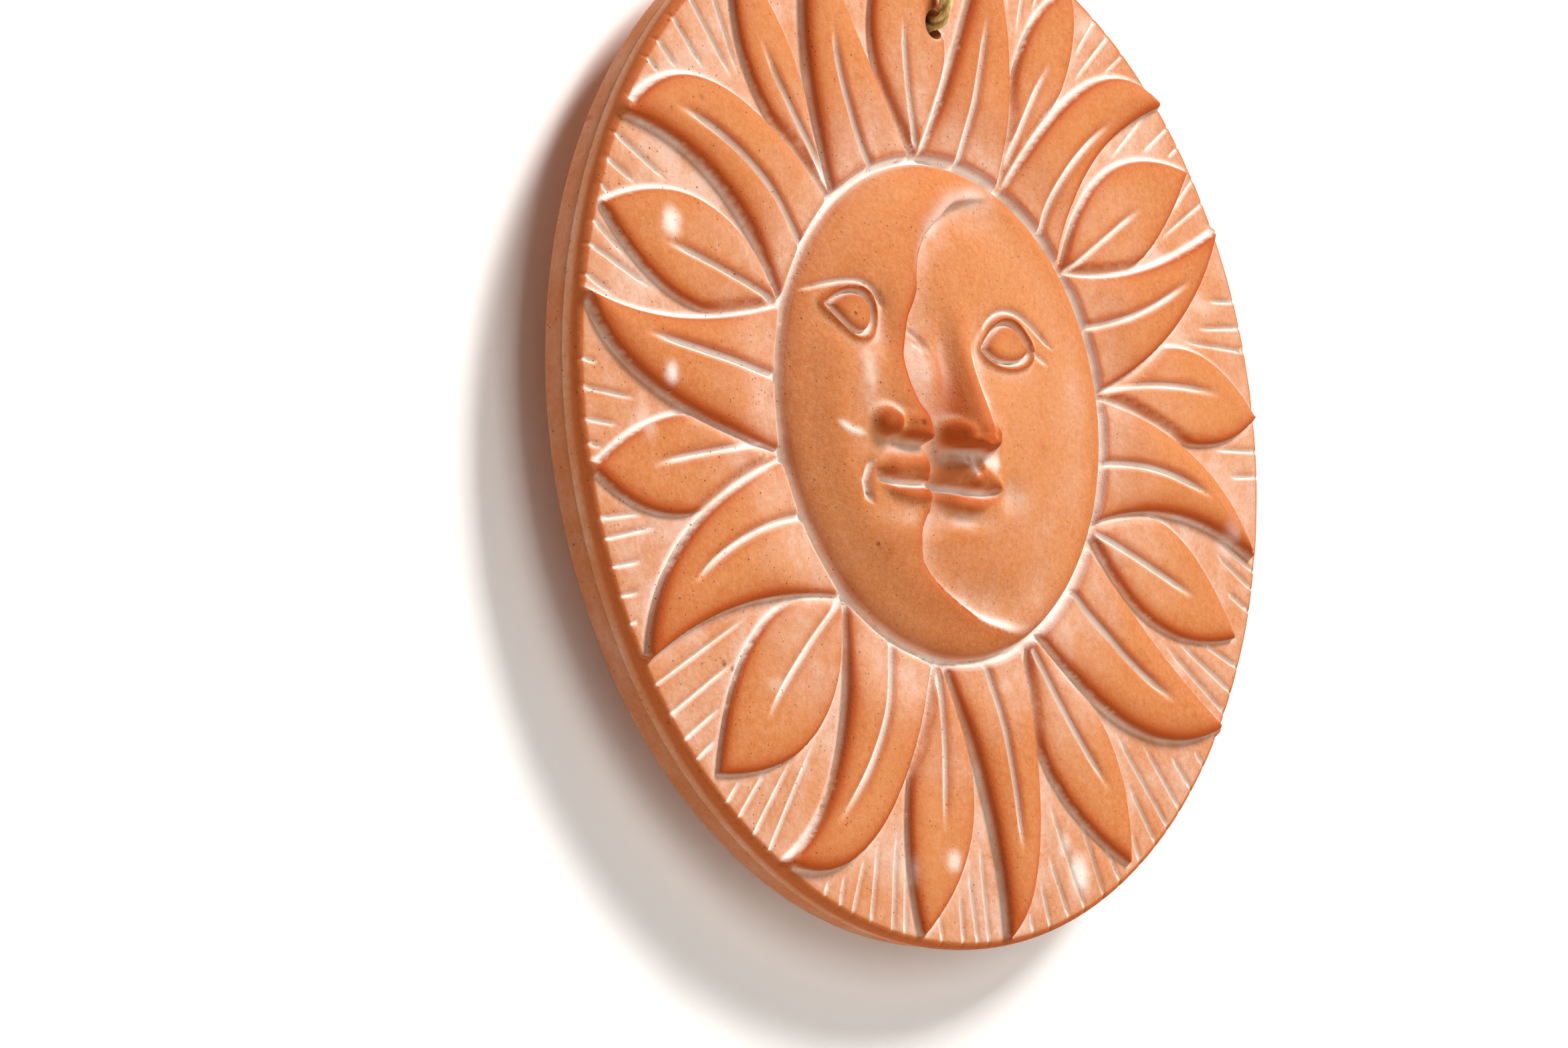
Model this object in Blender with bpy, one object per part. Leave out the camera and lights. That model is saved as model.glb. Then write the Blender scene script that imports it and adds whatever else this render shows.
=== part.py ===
# Sun and moon wall plaque of terracotta, hung by a loop of jute twine.
# Frame: metres, +Z up, back face on Y = 0 (the wall), carved front faces -Y, +X to the right seen from the front.
import math
import bpy
import bmesh
import numpy as np
from mathutils import Vector
from mathutils.geometry import delaunay_2d_cdt

# Driving sizes, metres
PLAQUE_RADIUS = 0.1161
BACK_RADIUS = 0.1150
FIELD_DEPTH = 0.0108
EDGE_ROUND = 0.0019
BACK_CHAMFER = 0.0006
PARTING_DEPTH = 0.0056
RAY_HEIGHT = 0.0030
LEAF_HEIGHT = 0.0020
RIB_DEPTH = 0.0013
FACE_RING_RADIUS = 0.0557
FACE_RING_DEPTH = 0.0007
FACE_EDGE_HEIGHT = 0.0023
FACE_DOME_HEIGHT = 0.0052
MOON_LIFT = 0.0020
NOSE_HEIGHT = 0.0073
HOLE_HEIGHT = 0.08825
HOLE_RADIUS = 0.0033
TWINE_DIAMETER = 0.0036
TWINE_GAP = 0.0003
GROOVE_HALF_WIDTH = 0.0028
GROOVE_DEPTH = 0.0049
LOOP_RISE = 0.0410
KNOT_SCALE = 0.0027
KNOT_DEPTH = 1.3
KNOT_LEAD = 0.0040
TAIL_LENGTH = 0.0110
RIM_STEPS = 120

# The carving is drawn in millimetres on a plaque of this radius and scaled to the real one
DRAWN_RADIUS = 116.1
CARVE_SCALE = PLAQUE_RADIUS / DRAWN_RADIUS
RING_CENTRE = (-1.0, 1.6)
PETAL_BASE = 56.6

# Large rays, upper layer: base angle of the first edge, its bend, the tip, bend of the second edge,
# base angle of the second edge, angle of the midrib on the ring, its bend and its end
RAYS = [
    (95, (8.5, 84), (19.5, 112.5), (31.5, 84.5), 68, 83, (13, 75.5), (17, 94)),
    (66, (59, 98.5), (82, 81), (48.5, 68), 42, 51, (38, 60), (62, 75)),
    (39, (70, 36.5), (101.5, 54.5), (91, 26.5), 10, 25, (71.5, 29.5), (90, 41.5)),
    (8, (98, 4), (111.5, -23), (82.5, -9), 339, 353, (75.5, -3), (95, -10.5)),
    (332, (69.5, -46.5), (96.5, -63), (65.5, -76.5), 303, 319, (57, -51), (78, -59)),
    (295, (34.5, -101.5), (15, -114), (14, -87.5), 268, 281, (17.5, -75), (19, -97)),
    (263, (-25.5, -109.5), (-58.5, -99), (-35, -87), 232, 248, (-24.5, -76), (-44.5, -91.5)),
    (230, (-71, -41), (-98.5, -59.5), (-97.5, -30.5), 196, 209, (-72, -29.5), (-87.5, -44)),
    (194, (-108.5, -3.5), (-114, 16.5), (-89.5, 9), 162, 178, (-79, 6.5), (-100.5, 9)),
    (160, (-70.5, 51), (-101.5, 54.5), (-80, 81), 131, 146, (-64, 54), (-89.5, 58)),
    (128, (-49.5, 77), (-41, 107.5), (-27.5, 80.5), 99, 114, (-35.5, 66.5), (-36.5, 84)),
]
# Small leaves, lower layer, in the same order
LEAVES = [
    (97, (-35, 84), (-9, 111.5), (14.5, 86), 95, 97, (-12, 74), (-11.5, 89.5)),
    (66, (25.5, 95.5), (49.5, 104), (56, 85), 65, 68, (33, 77.5), (41, 86.5)),
    (40, (54.5, 73.5), (91.5, 67), (71.5, 31.5), 38, 39, (59, 47.5), (73, 56.5)),
    (10, (87.5, 38.5), (114.5, 11), (94.5, -6), 9, 10, (79, 17), (101, 14.5)),
    (338, (79.5, -4), (103, -42), (69.5, -49.5), 335, 336, (69, -27), (88, -34.5)),
    (301, (62.5, -63), (60, -96), (20, -79), 298, 298, (38.5, -66.5), (53, -81)),
    (266, (18.5, -90.5), (-14, -114), (-24, -83), 264, 264, (-4.5, -75), (-7, -92)),
    (231, (-36.5, -81.5), (-78, -81.5), (-71.5, -41), 229, 230, (-54.5, -56.5), (-64.5, -71)),
    (196, (-88.5, -39), (-113.5, -20.5), (-85.5, 3), 194, 192, (-87, -15.5), (-98.5, -19.5)),
    (162, (-86.5, 7), (-109, 35), (-75, 50.5), 160, 162, (-78.5, 27), (-93.5, 29)),
    (130, (-71, 65), (-66, 94.5), (-46, 82), 129, 129, (-52, 64), (-60, 77.5)),
]
# The moon's profile from the upper horn over brow, nose, lips and chin to the lower horn
PROFILE = [
    (14.5, 51.5), (5, 49.5), (-1, 47.5), (-6.5, 43.5), (-11.5, 39.5), (-15, 34.5), (-16.5, 29.5),
    (-17, 26), (-18.5, 23), (-20.5, 19.5), (-22, 14.5), (-23, 10.5), (-22.5, 6.5), (-21.5, 3),
    (-20.5, 0.5), (-18.5, -2), (-17.5, -5), (-17, -7), (-18, -8.5), (-17, -9.5), (-16.5, -12),
    (-15.5, -14.5), (-15.5, -17), (-15, -20), (-15, -22), (-16, -23.5), (-17.5, -26.5),
    (-17.5, -29.5), (-16.5, -33), (-13, -36.5), (-7, -40), (-1, -42.5), (6.5, -45), (13.5, -46),
    (20, -46.5), (25.5, -45.5), (29.5, -43),
]


def ramp(t):
    t = np.clip(t, 0, 1)
    return t * t * (3 - 2 * t)


def quarter_round(t):
    t = np.clip(t, 0, 1)
    return np.sqrt(np.maximum(0, 1 - (1 - t) ** 2))


def bend(start, control, end, steps):
    t = np.linspace(0, 1, steps)[:, None]
    start, control, end = np.array(start, float), np.array(control, float), np.array(end, float)
    return (1 - t) ** 2 * start + 2 * t * (1 - t) * control + t ** 2 * end


def smooth_line(points, steps):
    points = np.asarray(points, float)
    ends = np.vstack([2 * points[0] - points[1], points, 2 * points[-1] - points[-2]])
    rows = []
    for i in range(1, len(ends) - 2):
        t = np.linspace(0, 1, steps, endpoint=False)[:, None]
        a, b, c, d = ends[i - 1], ends[i], ends[i + 1], ends[i + 2]
        rows.append(0.5 * (2 * b + (c - a) * t + (2 * a - 5 * b + 4 * c - d) * t ** 2
                           + (3 * b - a - 3 * c + d) * t ** 3))
    rows.append(ends[-2][None])
    return np.vstack(rows)


def on_circle(degrees, radius, centre=RING_CENTRE):
    angle = math.radians(degrees)
    return (centre[0] + radius * math.cos(angle), centre[1] + radius * math.sin(angle))


def line_distance(points, line):
    line = np.asarray(line, float)
    length = np.r_[0, np.cumsum(np.hypot(*np.diff(line, axis=0).T))]
    best = np.full(len(points), 1e9)
    along = np.zeros(len(points))
    for i in range(len(line) - 1):
        a, b = line[i], line[i + 1]
        ab = b - a
        size = float(ab @ ab)
        if size < 1e-12:
            continue
        t = np.clip(((points - a) @ ab) / size, 0, 1)
        gap = np.hypot(points[:, 0] - a[0] - t * ab[0], points[:, 1] - a[1] - t * ab[1])
        closer = gap < best
        best[closer] = gap[closer]
        along[closer] = (length[i] + t[closer] * math.sqrt(size)) / length[-1]
    return best, along


def inside(points, outline):
    x, z = points[:, 0], points[:, 1]
    result = np.zeros(len(points), bool)
    for (x1, z1), (x2, z2) in zip(outline, np.roll(outline, -1, axis=0)):
        if z1 == z2:
            continue
        result ^= ((z1 > z) != (z2 > z)) & (x < (x2 - x1) * (z - z1) / (z2 - z1) + x1)
    return result


def mound(points, x, z, half_x, half_z, height, flat=1.0):
    u = (points[:, 0] - x) / half_x
    v = (points[:, 1] - z) / half_z
    return height * np.exp(-(u * u + v * v) ** flat)


def stroke(points, line, width, height, taper=0.15, flat=1.0):
    gap, along = line_distance(points, line)
    fade = ramp(along / taper) * ramp((1 - along) / taper)
    return height * fade * np.exp(-((gap / width) ** 2) ** flat)


def along_table(values, places, heights):
    """Smooth curve through a short table, read at the given values."""
    places = np.asarray(places, float)[::-1]
    heights = np.asarray(heights, float)[::-1]
    slopes = np.gradient(heights, places)
    i = np.clip(np.searchsorted(places, values) - 1, 0, len(places) - 2)
    step = places[i + 1] - places[i]
    t = np.clip((values - places[i]) / step, 0, 1)
    return ((2 * t ** 3 - 3 * t ** 2 + 1) * heights[i] + (t ** 3 - 2 * t ** 2 + t) * step * slopes[i]
            + (3 * t ** 2 - 2 * t ** 3) * heights[i + 1] + (t ** 3 - t ** 2) * step * slopes[i + 1])


def almond(inner, outer, up, down, steps=12):
    inner, outer = np.array(inner, float), np.array(outer, float)
    t = np.linspace(0, 1, steps)
    base = inner + np.outer(t, outer - inner)
    side = np.array([-(outer - inner)[1], (outer - inner)[0]])
    side /= np.hypot(*side)
    if side[1] < 0:
        side = -side
    upper = base + np.outer(np.sin(np.pi * t ** 0.85).clip(0) ** 0.8 * up, side)
    lower = base - np.outer(np.sin(np.pi * t ** 1.1).clip(0) ** 0.85 * down, side)
    return np.vstack([upper, lower[::-1][1:-1]])


def petal_lines(row, steps):
    first, bend_1, tip, bend_2, second, rib_angle, rib_bend, rib_end = row
    edge_1 = bend(on_circle(first, PETAL_BASE), bend_1, tip, steps)
    edge_2 = bend(on_circle(second, PETAL_BASE), bend_2, tip, steps)
    rib = bend(on_circle(rib_angle, PETAL_BASE), rib_bend, rib_end, steps)
    return edge_1, edge_2, rib


MOON_LINE = smooth_line(PROFILE, 3)
MOON_AREA = np.vstack([MOON_LINE, [(60, -80), (-90, -80), (-90, 80), (30, 80)]])
MOON_EYE = almond((-31, 19), (-44, 21), 4.6, 4.4)
SUN_EYE = almond((6, 16.2), (24.8, 19), 4.2, 4.6)
MOON_LID = smooth_line([(-49, 23.5), (-44.5, 25), (-39, 26.5), (-35, 27), (-30.5, 25.5), (-28.5, 23), (-28.5, 19.5)], 3)
SUN_LID = smooth_line([(6, 16.5), (9, 21.5), (12.5, 24), (17, 25), (22.5, 24.5), (27.5, 21.5), (34, 16.5)], 3)

MM = 1000.0
RAY_MM = RAY_HEIGHT * MM
LEAF_MM = LEAF_HEIGHT * MM
RIB_MM = RIB_DEPTH * MM
RING_MM = FACE_RING_RADIUS / CARVE_SCALE
FACE_MM = RING_MM - 0.8


def petal_height(points):
    """Rays over leaves over the flat field, in millimetres above the field."""
    radius = np.hypot(points[:, 0] - RING_CENTRE[0], points[:, 1] - RING_CENTRE[1])
    ray_gap = np.full(len(points), 1e9)
    rays = np.zeros(len(points))
    on_ray = np.zeros(len(points), bool)
    leaves = np.zeros(len(points))
    for row in RAYS:
        edge_1, edge_2, rib = petal_lines(row, 14)
        within = inside(points, np.vstack([edge_1, edge_2[::-1]]))
        gap = np.minimum(line_distance(points, edge_1)[0], line_distance(points, edge_2)[0])
        ray_gap = np.where(within, 0, np.minimum(ray_gap, gap))
        rib_gap, along = line_distance(points, rib)
        height = RAY_MM * (0.45 * quarter_round(gap / 1.2) + 0.55 * quarter_round(gap / 6.5))
        height = height * (0.6 + 0.4 * ramp((radius - 57) / 16))
        height = height - RIB_MM * ramp((1 - along) / 0.35) * np.exp(-(rib_gap / 0.85) ** 2) * ramp(gap / 2)
        rays = np.where(within, height, rays)
        on_ray |= within
    for row in LEAVES:
        edge_1, edge_2, rib = petal_lines(row, 14)
        within = inside(points, np.vstack([edge_1, edge_2[::-1]]))
        gap = np.minimum(line_distance(points, edge_1)[0], line_distance(points, edge_2)[0])
        rib_gap, along = line_distance(points, rib)
        height = LEAF_MM * (0.5 * quarter_round(gap / 1.2) + 0.5 * quarter_round(gap / 5.5))
        height = height - 0.8 * RIB_MM * ramp((1 - along) / 0.35) * np.exp(-(rib_gap / 0.8) ** 2) * ramp(gap / 2)
        height = height * (0.15 + 0.85 * ramp(ray_gap / 3.2))
        leaves = np.where(within, np.maximum(leaves, height), leaves)
    return np.where(on_ray, rays, leaves)


def eye_height(points, outline, lid):
    """Ball, lid rim and the groove round both."""
    gap = line_distance(points, np.vstack([outline, outline[:1]]))[0]
    within = inside(points, outline)
    ball = np.where(within, 1.7 * quarter_round(gap / 3.2) - 0.5, 0)
    rim = np.where(within, 0, 1.1 * np.exp(-((gap - 1.45) / 0.85) ** 2))
    return ball + rim - 0.9 * np.exp(-(gap / 0.55) ** 2) + stroke(points, lid, 0.75, -0.9, 0.12)


def face_height(points):
    """Domed disc with the moon's profile over the sun's full face, in millimetres."""
    radius = np.hypot(points[:, 0] - RING_CENTRE[0], points[:, 1] - RING_CENTRE[1])
    dome = FACE_EDGE_HEIGHT * MM * quarter_round((FACE_MM - radius) / 5.0)
    dome = dome + FACE_DOME_HEIGHT * MM * np.clip(1 - (radius / FACE_MM) ** 2, 0, 1)
    line_gap = line_distance(points, MOON_LINE)[0]
    on_moon = inside(points, MOON_AREA)
    inner = ramp((FACE_MM - radius) / 14)
    level = np.interp(-points[:, 1], [-p[1] for p in PROFILE], [p[0] for p in PROFILE])
    nose = along_table(points[:, 1], [26, 18, 10, 4, 0, -4.8, -7.2, -9.5], [0, 0.1, 0.5, 1.4, 2.4, 3.2, 1.4, 0])
    moon = dome + 0.3 + (MOON_LIFT * MM - 0.3) * inner
    moon = moon + nose * np.exp(-((points[:, 0] - level + 1.5) / 6.5) ** 2)
    moon = moon + mound(points, -30.6, -4.0, 4.0, 3.3, 2.3, 1.4)
    moon = moon + mound(points, -24.5, -4.3, 6.0, 2.8, 0.9, 1.2)
    moon = moon - mound(points, -24.5, -8.6, 9.0, 1.8, 0.9)
    moon = moon - mound(points, -34.8, 18.5, 10.0, 8.0, 1.3, 1.2)
    moon = moon - mound(points, -28.5, 17.5, 3.2, 7.5, 1.0)
    moon = moon + stroke(points, [(-32.5, -15), (-27, -14.5), (-20.5, -14), (-12.5, -14.5)], 2.3, 1.5, 0.12, 1.3)
    moon = moon + stroke(points, [(-31.5, -19.5), (-26, -20.5), (-20.5, -21), (-11.5, -20.5)], 2.0, 1.5, 0.12, 1.3)
    moon = moon + stroke(points, [(-33.5, -15.5), (-31, -18), (-26.5, -19), (-19.5, -18.5), (-13, -17.5)], 0.8, -1.7, 0.1)
    moon = moon + stroke(points, [(-33, -12.5), (-35, -14.5), (-36, -18), (-34.5, -21.5), (-31.5, -23.5)], 0.9, -1.0, 0.25)
    moon = moon + mound(points, -23.5, -28.5, 7.5, 4.0, 0.7)
    moon = moon + eye_height(points, MOON_EYE, MOON_LID)
    nose = along_table(points[:, 1], [26, 17, 10, 4, 0, -4, -6.3, -8.3], [0, 1.0, 2.6, 4.6, 6.0, 7.3, 6.4, 0])
    nose = nose * NOSE_HEIGHT * MM / 7.3
    width = along_table(points[:, 1], [26, 17, 10, 4, 0, -4, -6.3, -8.3], [4.0, 3.8, 4.4, 5.4, 6.2, 6.6, 6.6, 6.2])
    sun = dome - 0.7 * inner - 1.5 * np.exp(-(line_gap / 7.0) ** 2)
    sun = sun + nose * np.exp(-((np.abs(points[:, 0] - 0.6) / width) ** 2) ** 1.15)
    for side in (-1, 1):
        sun = sun + mound(points, 0.6 + side * 6.8, -4.8, 3.4, 3.0, 2.4, 1.5)
        sun = sun - mound(points, 0.3 + side * 13.7, 16.0, 10.5, 8.0, 1.2, 1.2)
        sun = sun - mound(points, 0.3 + side * 6.3, 13.0, 3.0, 8.0, 0.9)
    sun = sun + stroke(points, [(-13, -16.5), (-6, -14.6), (-1, -14.4), (4, -14.6), (11, -16.8)], 2.5, 2.3, 0.15, 1.3)
    sun = sun + stroke(points, [(-12, -20), (-5, -21), (0, -21.2), (4, -20.6), (8, -19.4)], 2.2, 2.2, 0.2, 1.3)
    sun = sun + stroke(points, [(-14, -17.6), (-6, -17.9), (2, -17.9), (8, -17.6), (12.5, -16.6)], 0.9, -2.2, 0.1)
    sun = sun + stroke(points, [(-0.4, -9), (-0.8, -12), (-1.2, -15.2)], 1.0, -1.2, 0.2)
    sun = sun - mound(points, 14.5, -17.5, 3.5, 3.5, 0.9) - mound(points, 0.0, -24.8, 8.0, 1.8, 0.8)
    sun = sun + eye_height(points, SUN_EYE, SUN_LID)
    wall = ramp(line_gap / 1.9)
    crest = moon - 0.5 * inner * np.exp(-(line_gap / 0.9) ** 2)
    return np.where(on_moon, crest, sun * wall + crest * (1 - wall))


def relief(points):
    """Height of the carving above the field at drawn points, millimetres."""
    points = np.asarray(points, float)
    radius = np.hypot(points[:, 0] - RING_CENTRE[0], points[:, 1] - RING_CENTRE[1])
    petals = petal_height(points) * ramp((radius - FACE_MM) / 1.9)
    face = np.where(radius < FACE_MM, face_height(points), 0)
    groove = FACE_RING_DEPTH * MM * np.exp(-(radius - RING_MM) ** 2)
    lip = 0.7 * np.exp(-(np.maximum(0, np.hypot(points[:, 0], points[:, 1] - HOLE_DRAWN) - HOLE_MM) / 0.6) ** 2)
    return petals + face - groove - lip


HOLE_DRAWN = HOLE_HEIGHT / CARVE_SCALE
HOLE_MM = HOLE_RADIUS / CARVE_SCALE
FIELD_MM = (PLAQUE_RADIUS - EDGE_ROUND) / CARVE_SCALE


class Net:
    """Points and edges of the carved front, kept a least distance apart."""

    def __init__(self):
        self.points = []
        self.edges = []

    def add(self, point, spacing):
        if self.points:
            others = np.array(self.points)
            if np.hypot(others[:, 0] - point[0], others[:, 1] - point[1]).min() < spacing:
                return None
        self.points.append((float(point[0]), float(point[1])))
        return len(self.points) - 1

    def row(self, line, spacing, keep=None, linked=True):
        line = np.asarray(line, float)
        wanted = np.ones(len(line), bool) if keep is None else keep
        last = None
        for point, use in zip(line, wanted):
            index = self.add(point, spacing) if use else None
            if linked and index is not None and last is not None:
                self.edges.append((last, index))
            last = index


def even(line, spacing):
    line = np.asarray(line, float)
    length = np.r_[0, np.cumsum(np.hypot(*np.diff(line, axis=0).T))]
    count = max(2, int(round(length[-1] / spacing)) + 1)
    at = np.linspace(0, length[-1], count)
    return np.c_[np.interp(at, length, line[:, 0]), np.interp(at, length, line[:, 1])]


def beside(line, gap):
    line = np.asarray(line, float)
    run = np.gradient(line, axis=0)
    run /= np.hypot(run[:, 0], run[:, 1])[:, None]
    return line + gap * np.c_[-run[:, 1], run[:, 0]]


def circle_points(centre, radius, steps):
    return [on_circle(360.0 * i / steps, radius, centre) for i in range(steps)]


def front_net():
    net = Net()
    rim = [net.add(p, 0) for p in circle_points((0, 0), FIELD_MM, RIM_STEPS)]
    net.edges += list(zip(rim, rim[1:] + rim[:1]))
    for radius in (HOLE_MM - 1.2, HOLE_MM + 0.9):
        net.row(circle_points((0, HOLE_DRAWN), radius, 14), 0.5, linked=False)
    limit = FIELD_MM - 1.6
    hole_gap = 2.2
    rays = [petal_lines(row, 40) for row in RAYS]
    leaves = [petal_lines(row, 40) for row in LEAVES]
    ray_areas = [np.vstack([a, b[::-1]]) for a, b, _ in rays]
    for radius, steps in ((RING_MM, 64), (FACE_MM, 64), (PETAL_BASE + 0.5, 64)):
        loop = circle_points(RING_CENTRE, radius, steps)
        net.row(loop + loop[:1], 0.4)

    def usable(line, leaf):
        line = np.asarray(line, float)
        keep = np.hypot(line[:, 0], line[:, 1]) < limit
        keep &= np.hypot(line[:, 0] - RING_CENTRE[0], line[:, 1] - RING_CENTRE[1]) > PETAL_BASE + 1.2
        keep &= np.hypot(line[:, 0], line[:, 1] - HOLE_DRAWN) > HOLE_MM + hole_gap
        if leaf:
            for area in ray_areas:
                keep &= ~inside(line, area)
                keep &= line_distance(line, np.vstack([area, area[:1]]))[0] > 0.7
        return keep

    for group, leaf in ((rays, False), (leaves, True)):
        for edge_1, edge_2, _ in group:
            for edge in (edge_1, edge_2):
                line = even(edge, 4.6)
                net.row(line, 0.6, usable(line, leaf))
        for edge_1, edge_2, rib in group:
            area = np.vstack([edge_1, edge_2[::-1]])
            closed = np.vstack([area, area[:1]])
            for gap in (0.9, 3.0):
                for edge in (edge_1, edge_2):
                    for side in (-gap, gap):
                        line = beside(even(edge, 4.6 if gap < 1 else 5.2), side)
                        keep = usable(line, leaf) & inside(line, area)
                        keep &= line_distance(line, closed)[0] > 0.9 * gap
                        net.row(line, 0.6 if gap < 1 else 1.1, keep, linked=gap < 1)
            for side in (0, -1.0, 1.0):
                line = beside(even(rib, 5.5), side)
                keep = usable(line, leaf) & inside(line, area)
                net.row(line, 0.7, keep, linked=side == 0)
    for radius in (FACE_MM - 1.0, FACE_MM - 3.6):
        loop = circle_points(RING_CENTRE, radius, 64)
        net.row(loop + loop[:1], 0.7)
    moon = even(MOON_LINE, 2.2)
    face = np.hypot(moon[:, 0] - RING_CENTRE[0], moon[:, 1] - RING_CENTRE[1]) < FACE_MM - 1.5
    for side in (0, 1.7, -1.2):
        net.row(beside(moon, side), 0.75, face, linked=side == 0)
    for outline, lid in ((MOON_EYE, MOON_LID), (SUN_EYE, SUN_LID)):
        loop = even(np.vstack([outline, outline[:1]]), 1.9)[:-1]
        net.row(loop, 0.7, linked=False)
        centre = loop.mean(axis=0)
        net.row(centre + (loop - centre) * 1.24, 0.7, linked=False)
        net.row(centre + (loop - centre) * 0.66, 0.8, linked=False)
        net.row(even(lid, 2.0), 0.7, linked=False)
    for line in ([(-33.5, -15.5), (-31, -18), (-26.5, -19), (-19.5, -18.5)],
                 [(-13, -17.7), (-6, -17.9), (2, -17.9), (8, -17.6), (12.5, -16.6)]):
        for side in (0, -1.3, 1.3):
            net.row(beside(even(line, 2.3), side), 0.7, linked=False)
    for spacing, left, right, low, high in ((2.35, -38, 14, -25, 6), (3.1, -50, 36, -26, 30), (6.4, -112, 112, -112, 112)):
        rows = int((high - low) / (spacing * 0.866)) + 1
        for j in range(rows):
            for i in range(int((right - left) / spacing) + 1):
                point = (left + (i + 0.5 * (j % 2)) * spacing, low + j * spacing * 0.866)
                radius = math.hypot(point[0] - RING_CENTRE[0], point[1] - RING_CENTRE[1])
                if math.hypot(*point) > limit or (spacing < 6 and radius > FACE_MM - 3):
                    continue
                if math.hypot(point[0], point[1] - HOLE_DRAWN) < HOLE_MM + 3:
                    continue
                step = 4.6 if spacing > 6 and radius < FACE_MM else spacing
                net.add(point, 0.62 * step)
    return net


def clear_scene():
    for item in list(bpy.data.objects):
        bpy.data.objects.remove(item, do_unlink=True)


def collection(name):
    group = bpy.data.collections.new(name)
    bpy.context.scene.collection.children.link(group)
    return group


def material(name, colour, roughness):
    result = bpy.data.materials.new(name)
    result.use_nodes = True
    shader = result.node_tree.nodes["Principled BSDF"]
    shader.inputs["Base Color"].default_value = (*colour, 1.0)
    shader.inputs["Roughness"].default_value = roughness
    return result


def plaque_mesh():
    net = front_net()
    flat = [Vector(p) for p in net.points]
    points, _, triangles, _, _, _ = delaunay_2d_cdt(flat, net.edges, [], 0, 0.02)
    drawn = np.array([(p.x, p.y) for p in points])
    height = relief(drawn)
    scale = CARVE_SCALE
    mesh = bmesh.new()
    front = [mesh.verts.new((x * scale, -FIELD_DEPTH - h / MM, z * scale)) for (x, z), h in zip(drawn, height)]
    for triangle in triangles:
        a, b, c = (drawn[i] for i in triangle)
        turn = (b[0] - a[0]) * (c[1] - a[1]) - (b[1] - a[1]) * (c[0] - a[0])
        order = triangle if turn > 0 else triangle[::-1]
        mesh.faces.new([front[i] for i in order])
    rim = [i for i in range(len(drawn)) if math.hypot(*drawn[i]) > FIELD_MM - 0.1]
    rim.sort(key=lambda i: math.atan2(drawn[i][1], drawn[i][0]))
    rows = [[front[i] for i in rim]]
    profile = [
        (PLAQUE_RADIUS - 0.3 * EDGE_ROUND, FIELD_DEPTH - 0.3 * EDGE_ROUND, 0.75),
        (PLAQUE_RADIUS, FIELD_DEPTH - EDGE_ROUND, 0.3),
        (0.5 * (PLAQUE_RADIUS + BACK_RADIUS), PARTING_DEPTH, 0.0),
        (BACK_RADIUS, BACK_CHAMFER, 0.0),
        (BACK_RADIUS - BACK_CHAMFER, 0.0, 0.0),
    ]
    for radius, depth, share in profile:
        row = []
        for i in rim:
            angle = math.atan2(drawn[i][1], drawn[i][0])
            y = -depth - share * max(0.0, height[i]) / MM
            row.append(mesh.verts.new((radius * math.cos(angle), y, radius * math.sin(angle))))
        rows.append(row)
    for upper, lower in zip(rows, rows[1:]):
        count = len(upper)
        for i in range(count):
            j = (i + 1) % count
            mesh.faces.new((upper[j], upper[i], lower[i], lower[j]))
    mesh.faces.new(rows[-1])
    bmesh.ops.recalc_face_normals(mesh, faces=mesh.faces)
    data = bpy.data.meshes.new("sun_moon_plaque")
    mesh.to_mesh(data)
    mesh.free()
    data.shade_smooth()
    data.set_sharp_from_angle(angle=math.radians(50))
    return data


def cylinder(name, group, radius, depth, centre, rotation, scale=(1, 1, 1), sides=24):
    mesh = bmesh.new()
    bmesh.ops.create_cone(mesh, cap_ends=True, segments=sides, radius1=radius, radius2=radius, depth=depth)
    data = bpy.data.meshes.new(name)
    mesh.to_mesh(data)
    mesh.free()
    item = bpy.data.objects.new(name, data)
    item.location = centre
    item.rotation_euler = rotation
    item.scale = scale
    item.hide_render = True
    item.display_type = "WIRE"
    group.objects.link(item)
    return item


def tube(name, group, paths, radius, skin):
    data = bpy.data.curves.new(name, "CURVE")
    data.dimensions = "3D"
    data.bevel_depth = radius
    data.bevel_resolution = 2
    data.use_fill_caps = True
    for path in paths:
        spline = data.splines.new("POLY")
        spline.points.add(len(path) - 1)
        for point, place in zip(spline.points, path):
            point.co = (*place, 1.0)
    data.materials.append(skin)
    item = bpy.data.objects.new(name, data)
    group.objects.link(item)
    return item


def arc(centre_y, centre_z, radius, first, last, steps):
    angles = np.radians(np.linspace(first, last, steps))
    return [(0.0, centre_y + radius * math.cos(a), centre_z + radius * math.sin(a)) for a in angles]


def evenly(path, count):
    path = np.asarray(path, float)
    length = np.r_[0, np.cumsum(np.linalg.norm(np.diff(path, axis=0), axis=1))]
    at = np.linspace(0, length[-1], count)
    return np.stack([np.interp(at, length, path[:, k]) for k in range(3)], axis=1)


clear_scene()
plaque_group = collection("wall_decoration")
cutter_group = collection("cutters")
terracotta = material("terracotta", (0.72, 0.33, 0.16), 0.85)
jute = material("jute", (0.55, 0.42, 0.22), 0.95)

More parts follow.
